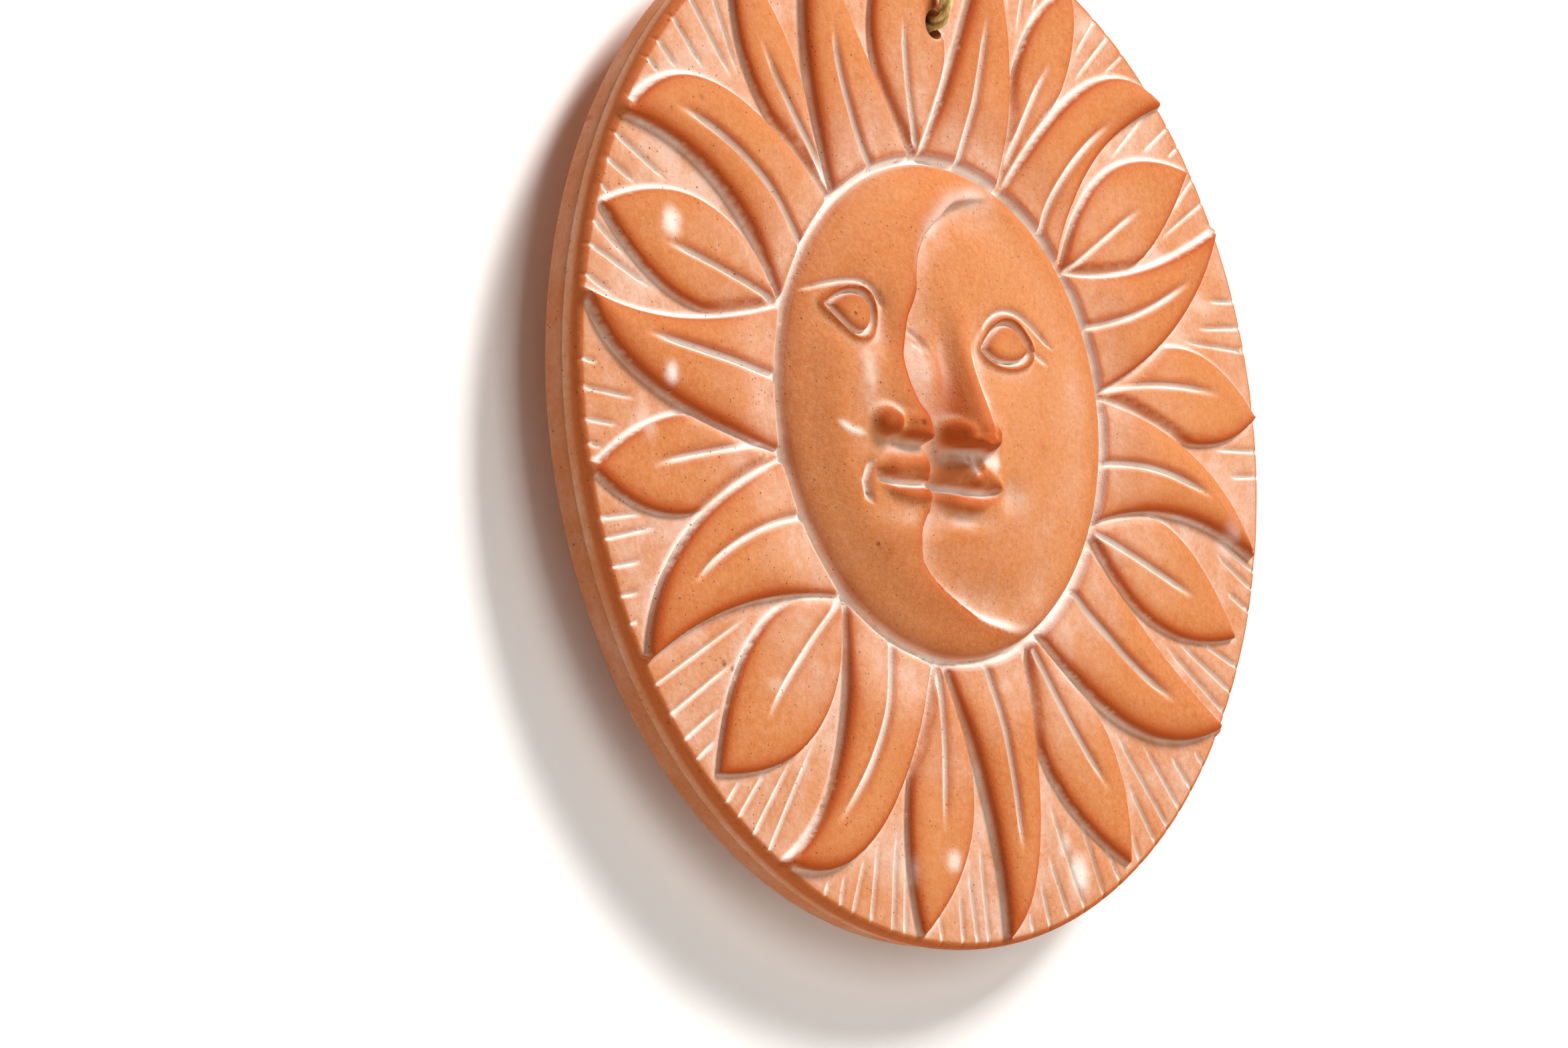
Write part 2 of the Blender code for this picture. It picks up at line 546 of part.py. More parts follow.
# Plaque with the string hole through it and the gouge up its back
plaque = bpy.data.objects.new("sun_moon_plaque", plaque_mesh())
plaque.data.materials.append(terracotta)
plaque_group.objects.link(plaque)
hole = cylinder("hole_cutter", cutter_group, HOLE_RADIUS, 4 * FIELD_DEPTH,
                (0, -FIELD_DEPTH / 2, HOLE_HEIGHT), (math.radians(90), 0, 0))
gouge_length = PLAQUE_RADIUS - HOLE_HEIGHT + 0.01
gouge = cylinder("gouge_cutter", cutter_group, GROOVE_DEPTH, gouge_length,
                 (0, 0, HOLE_HEIGHT + gouge_length / 2), (0, 0, 0), (GROOVE_HALF_WIDTH / GROOVE_DEPTH, 1, 1))
for cutter in (hole, gouge):
    cut = plaque.modifiers.new(cutter.name, "BOOLEAN")
    cut.operation = "DIFFERENCE"
    cut.solver = "EXACT"
    cut.object = cutter

# Twine: down the front, through the hole and up the gouge
twine_radius = TWINE_DIAMETER / 2
bend_radius = 2.1 * twine_radius
through = HOLE_HEIGHT + 0.1 * twine_radius
front_y = -(FIELD_DEPTH + LEAF_HEIGHT + 2 * TWINE_GAP + twine_radius)
back_y = -GROOVE_DEPTH / 2
loop_base = PLAQUE_RADIUS + LOOP_RISE
knot_y = -0.0090


def overhand(t):
    """Point of the overhand turn about its own centre, t in degrees from 200 to 520."""
    t = math.radians(t)
    return (KNOT_SCALE * (math.sin(t) + 2 * math.sin(2 * t)), -KNOT_DEPTH * KNOT_SCALE * math.sin(3 * t),
            KNOT_SCALE * (math.cos(t) - 2 * math.cos(2 * t)))


spread, half_depth, drop = overhand(200)
front_bend = arc(front_y + bend_radius, through + bend_radius, bend_radius, 180, 270, 7)
back_bend = arc(back_y - bend_radius, through + bend_radius, bend_radius, 270, 360, 7)
rim_z = PLAQUE_RADIUS
front_top = knot_y - half_depth
back_top = knot_y + half_depth
front_run = smooth_line([
    (-spread, front_top, loop_base), (-spread, front_top, loop_base - 0.005),
    (-0.5 * spread, front_y + 0.0012, rim_z + 0.014), (0, front_y, rim_z - 0.002),
    (0, front_y, through + bend_radius + 0.006), front_bend[0]], 6)
back_run = smooth_line([
    back_bend[-1], (0, back_y, through + bend_radius + 0.006), (0, back_y, rim_z - 0.002),
    (0.5 * spread, back_y - 0.0012, rim_z + 0.014), (spread, back_top, loop_base - 0.005),
    (spread, back_top, loop_base)], 6)
twine_path = np.vstack([evenly(front_run, 15)[:-1], front_bend, back_bend, evenly(back_run, 15)[1:]])
tube("hanging_twine", plaque_group, [twine_path], twine_radius, jute)

# Knot: one overhand turn at the top of the loop with two short tails
lead = loop_base + TWINE_GAP
knot_z = lead + KNOT_LEAD - drop
turns = [(x, knot_y + y, knot_z + z) for x, y, z in (overhand(520 - 320 * i / 30) for i in range(31))]
turns = [(-spread, front_top, lead), (-spread, front_top, lead + 0.4 * KNOT_LEAD)] + turns
turns = turns + [(spread, back_top, lead + 0.4 * KNOT_LEAD), (spread, back_top, lead)]
tube("twine_knot", plaque_group, [turns], twine_radius, jute)
for side, name in ((-1, "twine_tail_left"), (1, "twine_tail_right")):
    low = Vector((side * 0.8 * KNOT_SCALE, knot_y, knot_z + 2.9 * KNOT_SCALE))
    high = low + Vector((side * 0.35, -0.25, 1.0)).normalized() * TAIL_LENGTH
    tube(name, plaque_group, [[low.lerp(high, i / 3) for i in range(4)]], twine_radius, jute)
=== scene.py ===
import math
import bmesh
import bpy
import numpy as np
from mathutils import Matrix, Vector
from mathutils.geometry import delaunay_2d_cdt


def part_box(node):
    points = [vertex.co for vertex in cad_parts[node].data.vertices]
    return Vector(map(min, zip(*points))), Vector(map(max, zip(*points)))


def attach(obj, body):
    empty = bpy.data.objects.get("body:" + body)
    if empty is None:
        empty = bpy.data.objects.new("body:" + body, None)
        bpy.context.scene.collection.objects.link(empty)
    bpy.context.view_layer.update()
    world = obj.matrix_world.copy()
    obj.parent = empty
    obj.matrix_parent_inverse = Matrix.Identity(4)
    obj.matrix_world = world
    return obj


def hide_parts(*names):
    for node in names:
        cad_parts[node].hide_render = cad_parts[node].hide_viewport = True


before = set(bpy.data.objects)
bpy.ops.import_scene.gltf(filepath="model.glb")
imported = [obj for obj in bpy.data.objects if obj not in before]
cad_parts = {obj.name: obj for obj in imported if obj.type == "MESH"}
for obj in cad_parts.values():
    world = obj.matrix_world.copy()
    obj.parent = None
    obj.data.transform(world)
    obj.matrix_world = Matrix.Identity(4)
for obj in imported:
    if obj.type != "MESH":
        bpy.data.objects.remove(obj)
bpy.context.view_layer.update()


# Plaque: one thick disc of fired clay, pressed in a mould and finished with a knife. Rays and leaves lie
# round a domed face, a moon in profile over a sun seen from the front. A thin white wash was brushed on and
# wiped off the high parts. It hangs flat against the wall by the hole near its top.
plaque_low, plaque_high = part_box("sun_moon_plaque")
PLAQUE_RADIUS = plaque_high[0]
DRAWN_RADIUS = 116.1
METRES = PLAQUE_RADIUS / DRAWN_RADIUS
FIELD_DEPTH = 10.8
EDGE_ROUND = 1.9
BACK_RADIUS = 115.0
BACK_CHAMFER = 0.6
PARTING_DEPTH = 5.6
EDGE_WAVE = 0.12
DEEPEST = -plaque_low[1] / METRES
RAY_HEIGHT = 3.0
LEAF_HEIGHT = 2.0
RIB_DEPTH = 1.3
HATCH_DEPTH = 0.65
FOOT_WASH = 0.85
CUT_HALF_WIDTH = 0.52
CUT_OVERRUN = 1.12
RING_RADIUS = 55.7
RING_DEPTH = 0.8
FACE_RADIUS = RING_RADIUS - 0.8
FACE_EDGE_HEIGHT = 2.3
FACE_DOME_HEIGHT = 5.2
MOON_LIFT = 2.0
NOSE_HEIGHT = 7.2
HOLE_PLACE = (0.0, 88.25)
HOLE_RADIUS = 3.3
GROOVE_HALF_WIDTH = 2.8
GROOVE_DEPTH = 4.9
RING_CENTRE = (-1.0, 1.6)
PETAL_BASE = 56.6
FIELD_RADIUS = DRAWN_RADIUS - EDGE_ROUND
PETAL_EDGE = 1.1
RAY_CROWN = 6.5
LEAF_CROWN = 5.5
RAY_RIB_WIDTH = 0.75
LEAF_RIB_WIDTH = 0.7
FOOT_DEPTH = 0.22
FOOT_WIDTH = 1.1
FAR = 1e9

# Large rays, upper layer, drawn in millimetres: base angle of the first edge, its bend, the tip, bend of the
# second edge, its base angle, angle of the midrib on the ring, its bend and its end
RAYS = [
    (95, (8.5, 84), (19.5, 112.5), (31.5, 84.5), 68, 83, (13, 75.5), (17, 94)),
    (66, (59, 98.5), (82, 81), (48.5, 68), 42, 51, (38, 60), (62, 75)),
    (39, (70, 36.5), (101.5, 54.5), (91, 26.5), 10, 25, (71.5, 29.5), (90, 41.5)),
    (8, (98, 4), (111.5, -23), (82.5, -9), 339, 353, (75.5, -3), (95, -10.5)),
    (332, (69.5, -46.5), (96.5, -63), (65.5, -76.5), 303, 319, (57, -51), (78, -59)),
    (295, (34.5, -101.5), (15, -114), (14, -87.5), 268, 281, (17.5, -75), (19, -97)),
    (263, (-25.5, -109.5), (-58.5, -99), (-35, -87), 232, 248, (-24.5, -76), (-44.5, -91.5)),
    (230, (-71, -41), (-98.5, -59.5), (-97.5, -30.5), 196, 209, (-72, -29.5), (-87.5, -44)),
    (194, (-108.5, -3.5), (-114, 16.5), (-89.5, 9), 162, 178, (-79, 6.5), (-100.5, 9)),
    (160, (-70.5, 51), (-101.5, 54.5), (-80, 81), 131, 146, (-64, 54), (-89.5, 58)),
    (128, (-49.5, 77), (-41, 107.5), (-27.5, 80.5), 99, 114, (-35.5, 66.5), (-36.5, 84)),
]
# Small leaves, lower layer, in the same order
LEAVES = [
    (97, (-35, 84), (-9, 111.5), (14.5, 86), 95, 97, (-12, 74), (-11.5, 89.5)),
    (66, (25.5, 95.5), (49.5, 104), (56, 85), 65, 68, (33, 77.5), (41, 86.5)),
    (40, (54.5, 73.5), (91.5, 67), (71.5, 31.5), 38, 39, (59, 47.5), (73, 56.5)),
    (10, (87.5, 38.5), (114.5, 11), (94.5, -6), 9, 10, (79, 17), (101, 14.5)),
    (338, (79.5, -4), (103, -42), (69.5, -49.5), 335, 336, (69, -27), (88, -34.5)),
    (301, (62.5, -63), (60, -96), (20, -79), 298, 298, (38.5, -66.5), (53, -81)),
    (266, (18.5, -90.5), (-14, -114), (-24, -83), 264, 264, (-4.5, -75), (-7, -92)),
    (231, (-36.5, -81.5), (-78, -81.5), (-71.5, -41), 229, 230, (-54.5, -56.5), (-64.5, -71)),
    (196, (-88.5, -39), (-113.5, -20.5), (-85.5, 3), 194, 192, (-87, -15.5), (-98.5, -19.5)),
    (162, (-86.5, 7), (-109, 35), (-75, 50.5), 160, 162, (-78.5, 27), (-93.5, 29)),
    (130, (-71, 65), (-66, 94.5), (-46, 82), 129, 129, (-52, 64), (-60, 77.5)),
]
# Knife cuts in the field between the tips, from the rim inward
FIELD_CUTS = [
    ((-79, 82), (-66, 66)), ((-85, 77.5), (-75, 67)), ((-90, 72), (-83, 66)), ((-93.5, 68), (-89, 64.5)),
    ((-73, 86), (-64, 66.5)), ((-104, 50.5), (-87, 41.5)), ((-106, 44.5), (-97, 40)),
    ((-108.5, 39), (-105, 37)), ((-110.5, 31), (-101, 24.5)), ((-111, 25.6), (-92, 18)),
    ((-113.5, 19.6), (-105, 16)), ((-115.5, 1.8), (-110, 1.5)), ((-116, -4), (-98, -5)),
    ((-116, -10.5), (-104, -11)), ((-115, -15.5), (-109, -16)), ((-112, -31), (-97, -28.5)),
    ((-110, -35), (-93, -31)), ((-107.5, -40.5), (-98, -38.5)), ((-106, -46.5), (-99, -45)),
    ((-103, -52), (-100, -51)), ((-96.5, -64.5), (-65, -47)), ((-91.5, -70), (-70, -57)),
    ((-87.5, -75), (-75, -67)), ((-84, -79), (-77, -74)), ((-75, -87.5), (-70, -82)),
    ((-71.5, -90.5), (-61, -78.5)), ((-67, -94), (-52, -74.5)), ((-62.5, -97.5), (-45, -70.5)),
    ((-45, -106), (-43, -102)), ((-40, -108), (-38, -100.5)), ((-36, -109.5), (-31, -96)),
    ((-30, -111), (-26.5, -92)), ((-23, -112.5), (-20.5, -90)), ((-19, -113.5), (-18, -100)),
    ((-6.5, -115), (-7.5, -108)), ((0.5, -115), (0, -103)), ((5.5, -115), (3, -98)),
    ((9.5, -115), (7, -92)), ((25, -113), (24, -107.5)), ((31, -111), (28, -100)),
    ((38, -109), (31, -94)), ((44, -107), (31.5, -82)), ((51, -104), (42, -84)),
    ((57.5, -101), (50, -89)), ((64.5, -96), (61.5, -88)), ((70.5, -91), (60.5, -77)),
    ((75.5, -87.5), (56, -65)), ((80.5, -83.5), (66, -67)), ((85.5, -79), (77, -70)),
    ((90.5, -73), (86, -69)), ((102, -55), (80, -43)), ((99, -60), (75, -44)), ((105, -49), (88, -42.5)),
    ((111, -30), (97, -22)), ((113, -26), (100, -20)), ((109, -35), (101, -31)), ((115, -3), (104, -4)),
    ((115, 3), (98, 2)), ((109, 38), (98, 37)), ((111, 32), (93, 30)), ((113, 26.5), (87, 26.5)),
    ((99, 61), (80, 49)), ((95, 66), (86, 57)), ((90, 73), (85, 69.5)), ((86, 77), (75, 69)),
    ((81, 82), (62, 65)), ((60, 99), (51, 88)), ((65, 96), (50, 82)), ((70, 92), (62, 86)),
    ((30, 111), (27, 96)), ((36, 110), (30, 90)), ((42, 107.5), (36, 96)), ((-32, 111), (-29, 98)),
    ((-26, 112), (-25, 92)), ((-19.5, 113), (-20, 100)), ((-47, 105), (-44.5, 98)),
    ((-53, 102.5), (-47, 86)), ((-59, 99.5), (-54, 91)), ((1.5, 114.5), (3, 105)),
    ((7.5, 114.5), (7.5, 100)), ((12, 113.5), (10.5, 104)),
]
# The moon's profile from the upper horn over brow, nose, lips and chin to the lower horn
PROFILE = [
    (14.5, 51.5), (5, 49.5), (-1, 47.5), (-6.5, 43.5), (-11.5, 39.5), (-15, 34.5), (-16.5, 29.5),
    (-17, 26), (-18.5, 23), (-20.5, 19.5), (-22, 14.5), (-23, 10.5), (-22.5, 6.5), (-21.5, 3),
    (-20.5, 0.5), (-18.5, -2), (-17.5, -5), (-17, -7), (-18, -8.5), (-17, -9.5), (-16.5, -12),
    (-15.5, -14.5), (-15.5, -17), (-15, -20), (-15, -22), (-16, -23.5), (-17.5, -26.5),
    (-17.5, -29.5), (-16.5, -33), (-13, -36.5), (-7, -40), (-1, -42.5), (6.5, -45), (13.5, -46),
    (20, -46.5), (25.5, -45.5), (29.5, -43),
]
# Spots of wash left standing: place, half sizes and strength
BLOTCHES = [
    (-89, 33, 2.6, 3.0, 0.85), (-91, 1, 1.8, 2.2, 0.8), (-4, -97, 2.4, 2.2, 0.75), (42, -98, 3.4, 4.2, 0.9),
    (37, -92, 2.0, 2.4, 0.6), (-60, -62, 3.0, 1.6, 0.25), (-97, -8, 2.0, 5.0, 0.35),
    (101, -20, 3.0, 5.0, 0.35), (-18, -100, 2.5, 3.5, 0.3), (56, 96, 3.0, 3.0, 0.3), (96, 36, 4.0, 2.0, 0.3),
]
# Painted shade on the shaded side of the sun's nose, as dark bare clay: place, half sizes and strength
NOSE_PAINTED_SHADE = (-6.0, 3, 4.0, 10.0, 0.9)
# Small dark pits in the clay: place and size
STAINS = [
    (-21.5, -4.2, 0.7), (-73, -57, 0.6), (-74.5, -58.6, 0.5), (-71.8, -59.2, 0.45), (-72.2, -55.4, 0.4),
    (-36.6, 18.6, 0.35), (-34.0, -20.0, 0.4), (-80, 60, 0.4), (-31.0, -30.5, 0.35),
]


def ramp(t):
    """Eases from 0 to 1."""
    t = np.clip(t, 0, 1)
    return t * t * (3 - 2 * t)


def quarter_round(t):
    """Rises from 0 to 1 like the edge of a rounded board."""
    t = np.clip(t, 0, 1)
    return np.sqrt(np.maximum(0, 1 - (1 - t) ** 2))


def bend(start, control, end, steps):
    """A single curve from start to end, drawn toward the control point."""
    t = np.linspace(0, 1, steps)[:, None]
    start, control, end = (np.array(p, float) for p in (start, control, end))
    return (1 - t) ** 2 * start + 2 * t * (1 - t) * control + t ** 2 * end


def smooth_line(points, steps):
    """A smooth curve through the points, with so many steps between each two."""
    points = np.asarray(points, float)
    ends = np.vstack([2 * points[0] - points[1], points, 2 * points[-1] - points[-2]])
    t = np.linspace(0, 1, steps, endpoint=False)[:, None]
    rows = []
    for a, b, c, d in zip(ends, ends[1:], ends[2:], ends[3:]):
        rows.append(0.5 * (2 * b + (c - a) * t + (2 * a - 5 * b + 4 * c - d) * t ** 2
                           + (3 * b - a - 3 * c + d) * t ** 3))
    return np.vstack(rows + [ends[-2][None]])


def on_circle(degrees, radius, centre=RING_CENTRE):
    angle = np.radians(degrees)
    return (centre[0] + radius * np.cos(angle), centre[1] + radius * np.sin(angle))


def distance_from(points, centre):
    return np.hypot(points[:, 0] - centre[0], points[:, 1] - centre[1])


def line_distance(points, line):
    """Distance of each point from the line, and how far along the line it lies, from 0 to 1."""
    line = np.asarray(line, float)
    length = np.r_[0, np.cumsum(np.hypot(*np.diff(line, axis=0).T))]
    best = np.full(len(points), FAR)
    along = np.zeros(len(points))
    for i, (a, b) in enumerate(zip(line, line[1:])):
        ab = b - a
        size = max(float(ab @ ab), 1e-12)
        t = np.clip(((points - a) @ ab) / size, 0, 1)
        gap = np.hypot(points[:, 0] - a[0] - t * ab[0], points[:, 1] - a[1] - t * ab[1])
        closer = gap < best
        best[closer] = gap[closer]
        along[closer] = (length[i] + t[closer] * math.sqrt(size)) / length[-1]
    return best, along


def inside(points, outline):
    """Which points lie within the closed outline."""
    x, z = points[:, 0], points[:, 1]
    result = np.zeros(len(points), bool)
    for (x1, z1), (x2, z2) in zip(outline, np.roll(outline, -1, axis=0)):
        if z1 != z2:
            result ^= ((z1 > z) != (z2 > z)) & (x < (x2 - x1) * (z - z1) / (z2 - z1) + x1)
    return result


def close_by(points, line, reach):
    """Indices of the points in the line's box, grown by reach."""
    line = np.asarray(line, float)
    box = (points > line.min(axis=0) - reach) & (points < line.max(axis=0) + reach)
    return np.flatnonzero(box.all(axis=1))


def mound(points, x, z, half_x, half_z, height, flat=1.0):
    """A rounded swelling, or a hollow where the height is negative."""
    u = (points[:, 0] - x) / half_x
    v = (points[:, 1] - z) / half_z
    return height * np.exp(-(u * u + v * v) ** flat)


def stroke(points, line, width, height, taper=0.15, flat=1.0):
    """A rounded welt or groove along a line, narrower and lower toward its ends."""
    gap, along = line_distance(points, line)
    fade = ramp(along / taper) * ramp((1 - along) / taper)
    return height * fade * np.exp(-((gap / (width * (0.35 + 0.65 * fade))) ** 2) ** flat)


def along_table(values, places, heights):
    """Smooth curve through a short table, read at the given values."""
    places = np.asarray(places, float)[::-1]
    heights = np.asarray(heights, float)[::-1]
    slopes = np.gradient(heights, places)
    i = np.clip(np.searchsorted(places, values) - 1, 0, len(places) - 2)
    step = places[i + 1] - places[i]
    t = np.clip((values - places[i]) / step, 0, 1)
    return ((2 * t ** 3 - 3 * t ** 2 + 1) * heights[i] + (t ** 3 - 2 * t ** 2 + t) * step * slopes[i]
            + (3 * t ** 2 - 2 * t ** 3) * heights[i + 1] + (t ** 3 - t ** 2) * step * slopes[i + 1])


def petal_lines(row, steps):
    """The two edges and the midrib of one ray or leaf."""
    first, bend_1, tip, bend_2, second, rib_angle, rib_bend, rib_end = row
    edge_1 = bend(on_circle(first, PETAL_BASE), bend_1, tip, steps)
    edge_2 = bend(on_circle(second, PETAL_BASE), bend_2, tip, steps)
    rib = bend(on_circle(rib_angle, PETAL_BASE), rib_bend, rib_end, steps)
    return edge_1, edge_2, rib


def ripple(points, size, seed, count=7):
    """Gentle unevenness between -1 and 1 with swells of about the given size."""
    chance = np.random.default_rng(seed)
    total = np.zeros(len(points))
    for _ in range(count):
        angle, phase = chance.uniform(0, 2 * np.pi, 2)
        pitch = 2 * np.pi / (size * chance.uniform(0.7, 1.5))
        run = points[:, 0] * math.cos(angle) + points[:, 1] * math.sin(angle)
        total += np.sin(run * pitch + phase)
    return total / count


MOON_LINE = smooth_line(PROFILE, 4)
MOON_AREA = np.vstack([MOON_LINE, [(60, -80), (-90, -80), (-90, 80), (30, 80)]])
MOON_EYE = smooth_line([
    (-43.6, 20.3), (-40.4, 22.4), (-37.2, 23.5), (-34, 23.4), (-31.6, 21.9), (-30.6, 19.5), (-31.2, 17),
    (-33, 15.2), (-35.6, 14.8), (-38.2, 15.9), (-41, 18), (-43.6, 20.3)], 4)[:-1]
SUN_EYE = smooth_line([
    (8, 15.9), (10.6, 19.2), (14.5, 21.8), (18.6, 22), (22, 20), (24.2, 17.2), (22.4, 14.9),
    (18.4, 13.6), (13.6, 13.4), (10.2, 14.3), (8, 15.9)], 4)[:-1]
MOON_LID = smooth_line([
    (-50.5, 22.6), (-46, 24), (-40.4, 25.4), (-34.5, 26), (-30, 24.6), (-27.7, 22), (-27.2, 19)], 4)
SUN_LID = smooth_line([
    (6.8, 17.5), (10.3, 22.3), (14.8, 24.7), (20.2, 25), (25.3, 23.2), (30, 20.4), (35, 17.6)], 4)
SUN_EYE_CORNER = [(24.5, 17), (28, 15.8), (32, 14.2)]
MOON_MOUTH = [(-32.5, -14.6), (-30, -16.4), (-26, -17.2), (-19.5, -16.9), (-13, -16.4)]
MOON_FOLD = [(-31.5, -12), (-34, -14), (-35.2, -17.2), (-34.2, -20.5), (-31.8, -22.5)]
SUN_MOUTH = [(-14, -16.4), (-6, -16.6), (2, -16.9), (8, -16.6), (13, -15.4)]
HIDDEN_LIDS = ([(-17.5, 18), (-14.5, 17), (-11.5, 14.5), (-10, 12)], [(-15.5, 15), (-12.5, 14), (-11.5, 12)])
# The noses from brow to lip: heights on the face, how far each stands out, and the sun nose's half width
MOON_NOSE_LEVELS = [26, 18, 10, 4, 0, -4.8, -7.0, -8.1]
MOON_NOSE_RISE = [0, 0.1, 0.5, 1.4, 2.4, 3.2, 2.6, 0]
SUN_NOSE_LEVELS = [26, 17, 10, 4, 0, -5, -7.4, -8.5]
SUN_NOSE_RISE = [0, 1.0, 2.6, 4.6, 6.0, 7.3, 6.6, 0]
SUN_NOSE_WIDTH = [3.6, 3.2, 3.5, 4.5, 5.7, 6.2, 5.2, 4.0]
SUN_NOSE_MIDDLE = -0.9
SUN_EYES_MIDDLE = 0.3
# Rounded forms and hollows: place, half sizes, height and how flat the top is
MOON_FORMS = {
    "nostril wing": (-30.0, -4.2, 3.3, 3.3, 2.6, 1.9),
    "side of the nose": (-25.5, -4.6, 5.0, 2.8, 0.9, 1.6),
    "nostril": (-28.0, -7.6, 1.9, 0.9, -0.8, 1.0),
    "under the nose": (-24.5, -9.0, 8.0, 1.6, -0.7, 1.0),
    "eye socket": (-34.8, 18.5, 10.0, 8.0, -1.3, 1.2),
    "inner corner": (-28.5, 17.5, 3.2, 7.5, -1.0, 1.0),
    "chin": (-23.5, -28.5, 7.5, 4.0, 0.7, 1.0),
}
SUN_FORMS = {
    "mouth corner": (15.5, -16.5, 3.5, 3.5, -0.9, 1.0),
    "under the lip": (0.0, -23.2, 8.0, 1.8, -0.7, 1.0),
}
# Forms on both sides of the sun's nose: middle, distance aside, then as above from the height on the face
SUN_PAIRS = {
    "nostril wing": (SUN_NOSE_MIDDLE, 6.6, -5.0, 3.0, 3.2, 2.4, 1.8),
    "nostril": (SUN_NOSE_MIDDLE, 4.2, -8.6, 1.9, 0.8, -0.7, 1.0),
    "eye socket": (SUN_EYES_MIDDLE, 13.7, 16.0, 10.5, 8.0, -1.2, 1.2),
    "inner corner": (SUN_EYES_MIDDLE, 6.3, 13.0, 3.0, 8.0, -0.9, 1.0),
}
# Forms along a line: the line, half width, height, tapered share of each end and how flat the top is
MOON_STROKES = {
    "upper lip": ([(-33, -14), (-28, -13.4), (-21.5, -12.6), (-12.5, -12.8)], 2.2, 1.4, 0.3, 1.2),
    "lower lip": ([(-31.5, -17.4), (-27, -18.6), (-21.5, -19.3), (-11.5, -19.1)], 1.8, 1.3, 0.35, 1.2),
    "mouth": (MOON_MOUTH, 0.8, -1.7, 0.1, 1.0),
    "fold": (MOON_FOLD, 0.9, -1.0, 0.25, 1.0),
}
SUN_UPPER_LIP = [(-15, -14.4), (-8, -13), (-2.8, -12.2), (2, -13.6), (5.6, -12.4), (9, -13.4), (14.5, -15.8)]
SUN_LOWER_LIP = [(-14, -18.4), (-7, -19.2), (0, -19.8), (5, -19.3), (10.5, -17.6)]
SUN_STROKES = {
    "upper lip": (SUN_UPPER_LIP, 2.0, 1.5, 0.35, 1.2),
    "lower lip": (SUN_LOWER_LIP, 1.8, 1.3, 0.4, 1.2),
    "mouth": (SUN_MOUTH, 0.9, -2.2, 0.1, 1.0),
    "groove over the lip": ([(1.6, -9), (2.0, -11), (2.4, -13.4)], 1.1, -1.1, 0.2, 1.0),
    "its right rim": ([(4.2, -8.8), (4.0, -10.8), (4.2, -12.2)], 0.8, 0.5, 0.3, 1.0),
    "its left rim": ([(-0.6, -8.6), (-0.2, -11), (0.9, -13.6)], 0.7, 0.9, 0.25, 1.0),
    "eye corner": (SUN_EYE_CORNER, 0.6, -0.6, 0.3, 1.0),
    "hidden eye's lid": (HIDDEN_LIDS[0], 0.6, -0.7, 0.3, 1.0),
    "hidden eye": (HIDDEN_LIDS[1], 0.6, -0.7, 0.3, 1.0),
}
# Streaks of dense wash on the face: the line, half width and strength
FACE_STREAKS = [
    ([(2.8, 17.5), (3.2, 11), (5.8, 5), (9.5, 0.5)], 1.2, 0.75),
    ([(4.0, -9.6), (8, -9), (12, -10.5)], 1.9, 0.9), ([(-0.6, -9), (-0.2, -11), (0.9, -13.6)], 0.7, 0.7),
    ([(-44, -4.5), (-39, -6.5), (-34, -7.4)], 0.8, 0.8),
    ([(-34, 13.5), (-33.5, 8), (-33, 2)], 1.6, 0.30), (MOON_MOUTH, 0.75, 0.8), (SUN_MOUTH, 0.75, 0.9),
    (MOON_FOLD, 0.7, 0.75), (MOON_LID, 0.6, 0.65), (SUN_LID, 0.6, 0.65), (SUN_EYE_CORNER, 0.5, 0.5),
]
# Clouds of thin wash on the face: place, half sizes and strength
FACE_CLOUDS = [
    (-24, -9.8, 9, 2.0, 0.7), (17, -17, 5, 3.5, 0.6), (-33, 6, 3.0, 9, 0.45), (0, -22.8, 9, 1.8, 0.5),
    (-14, 10, 3.8, 8.5, 0.8), (-7, -10, 5, 1.8, 0.5), (-22, -24.5, 9, 2.0, 0.35), (30, -30, 8, 12, 0.18),
    (40, 5, 6, 20, 0.15),
]


def full_cut(outer, inner):
    """The line of a knife cut, run on a little over the rim."""
    outer = np.array(outer, float)
    inner = np.array(inner, float)
    return np.array([inner + (outer - inner) * CUT_OVERRUN, inner])


def knife_cuts(points):
    """How deep each point lies in the field's knife cuts, from 0 to 1, shallower at their inner ends."""
    cuts = np.zeros(len(points))
    for outer, inner in FIELD_CUTS:
        line = full_cut(outer, inner)
        near = close_by(points, line, 2.5)
        gap, along = line_distance(points[near], line)
        depth = ramp((1 - along) / 0.3) * np.clip(1.15 - gap / CUT_HALF_WIDTH, 0, 1)
        cuts[near] = np.maximum(cuts[near], depth)
    return cuts


def petal_shape(points, row, rib_width):
    """The points near a petal, which of them lie within it, their gap to its edges and its midrib's depth."""
    edge_1, edge_2, rib = petal_lines(row, 22)
    outline = np.vstack([edge_1, edge_2[::-1]])
    near = close_by(points, outline, 6.0)
    spot = points[near]
    gap = np.minimum(line_distance(spot, edge_1)[0], line_distance(spot, edge_2)[0])
    rib_gap, rib_along = line_distance(spot, rib)
    cut = ramp((1 - rib_along) / 0.3) * np.exp(-(rib_gap / rib_width) ** 2) * ramp(gap / 2)
    return near, inside(spot, outline), gap, cut


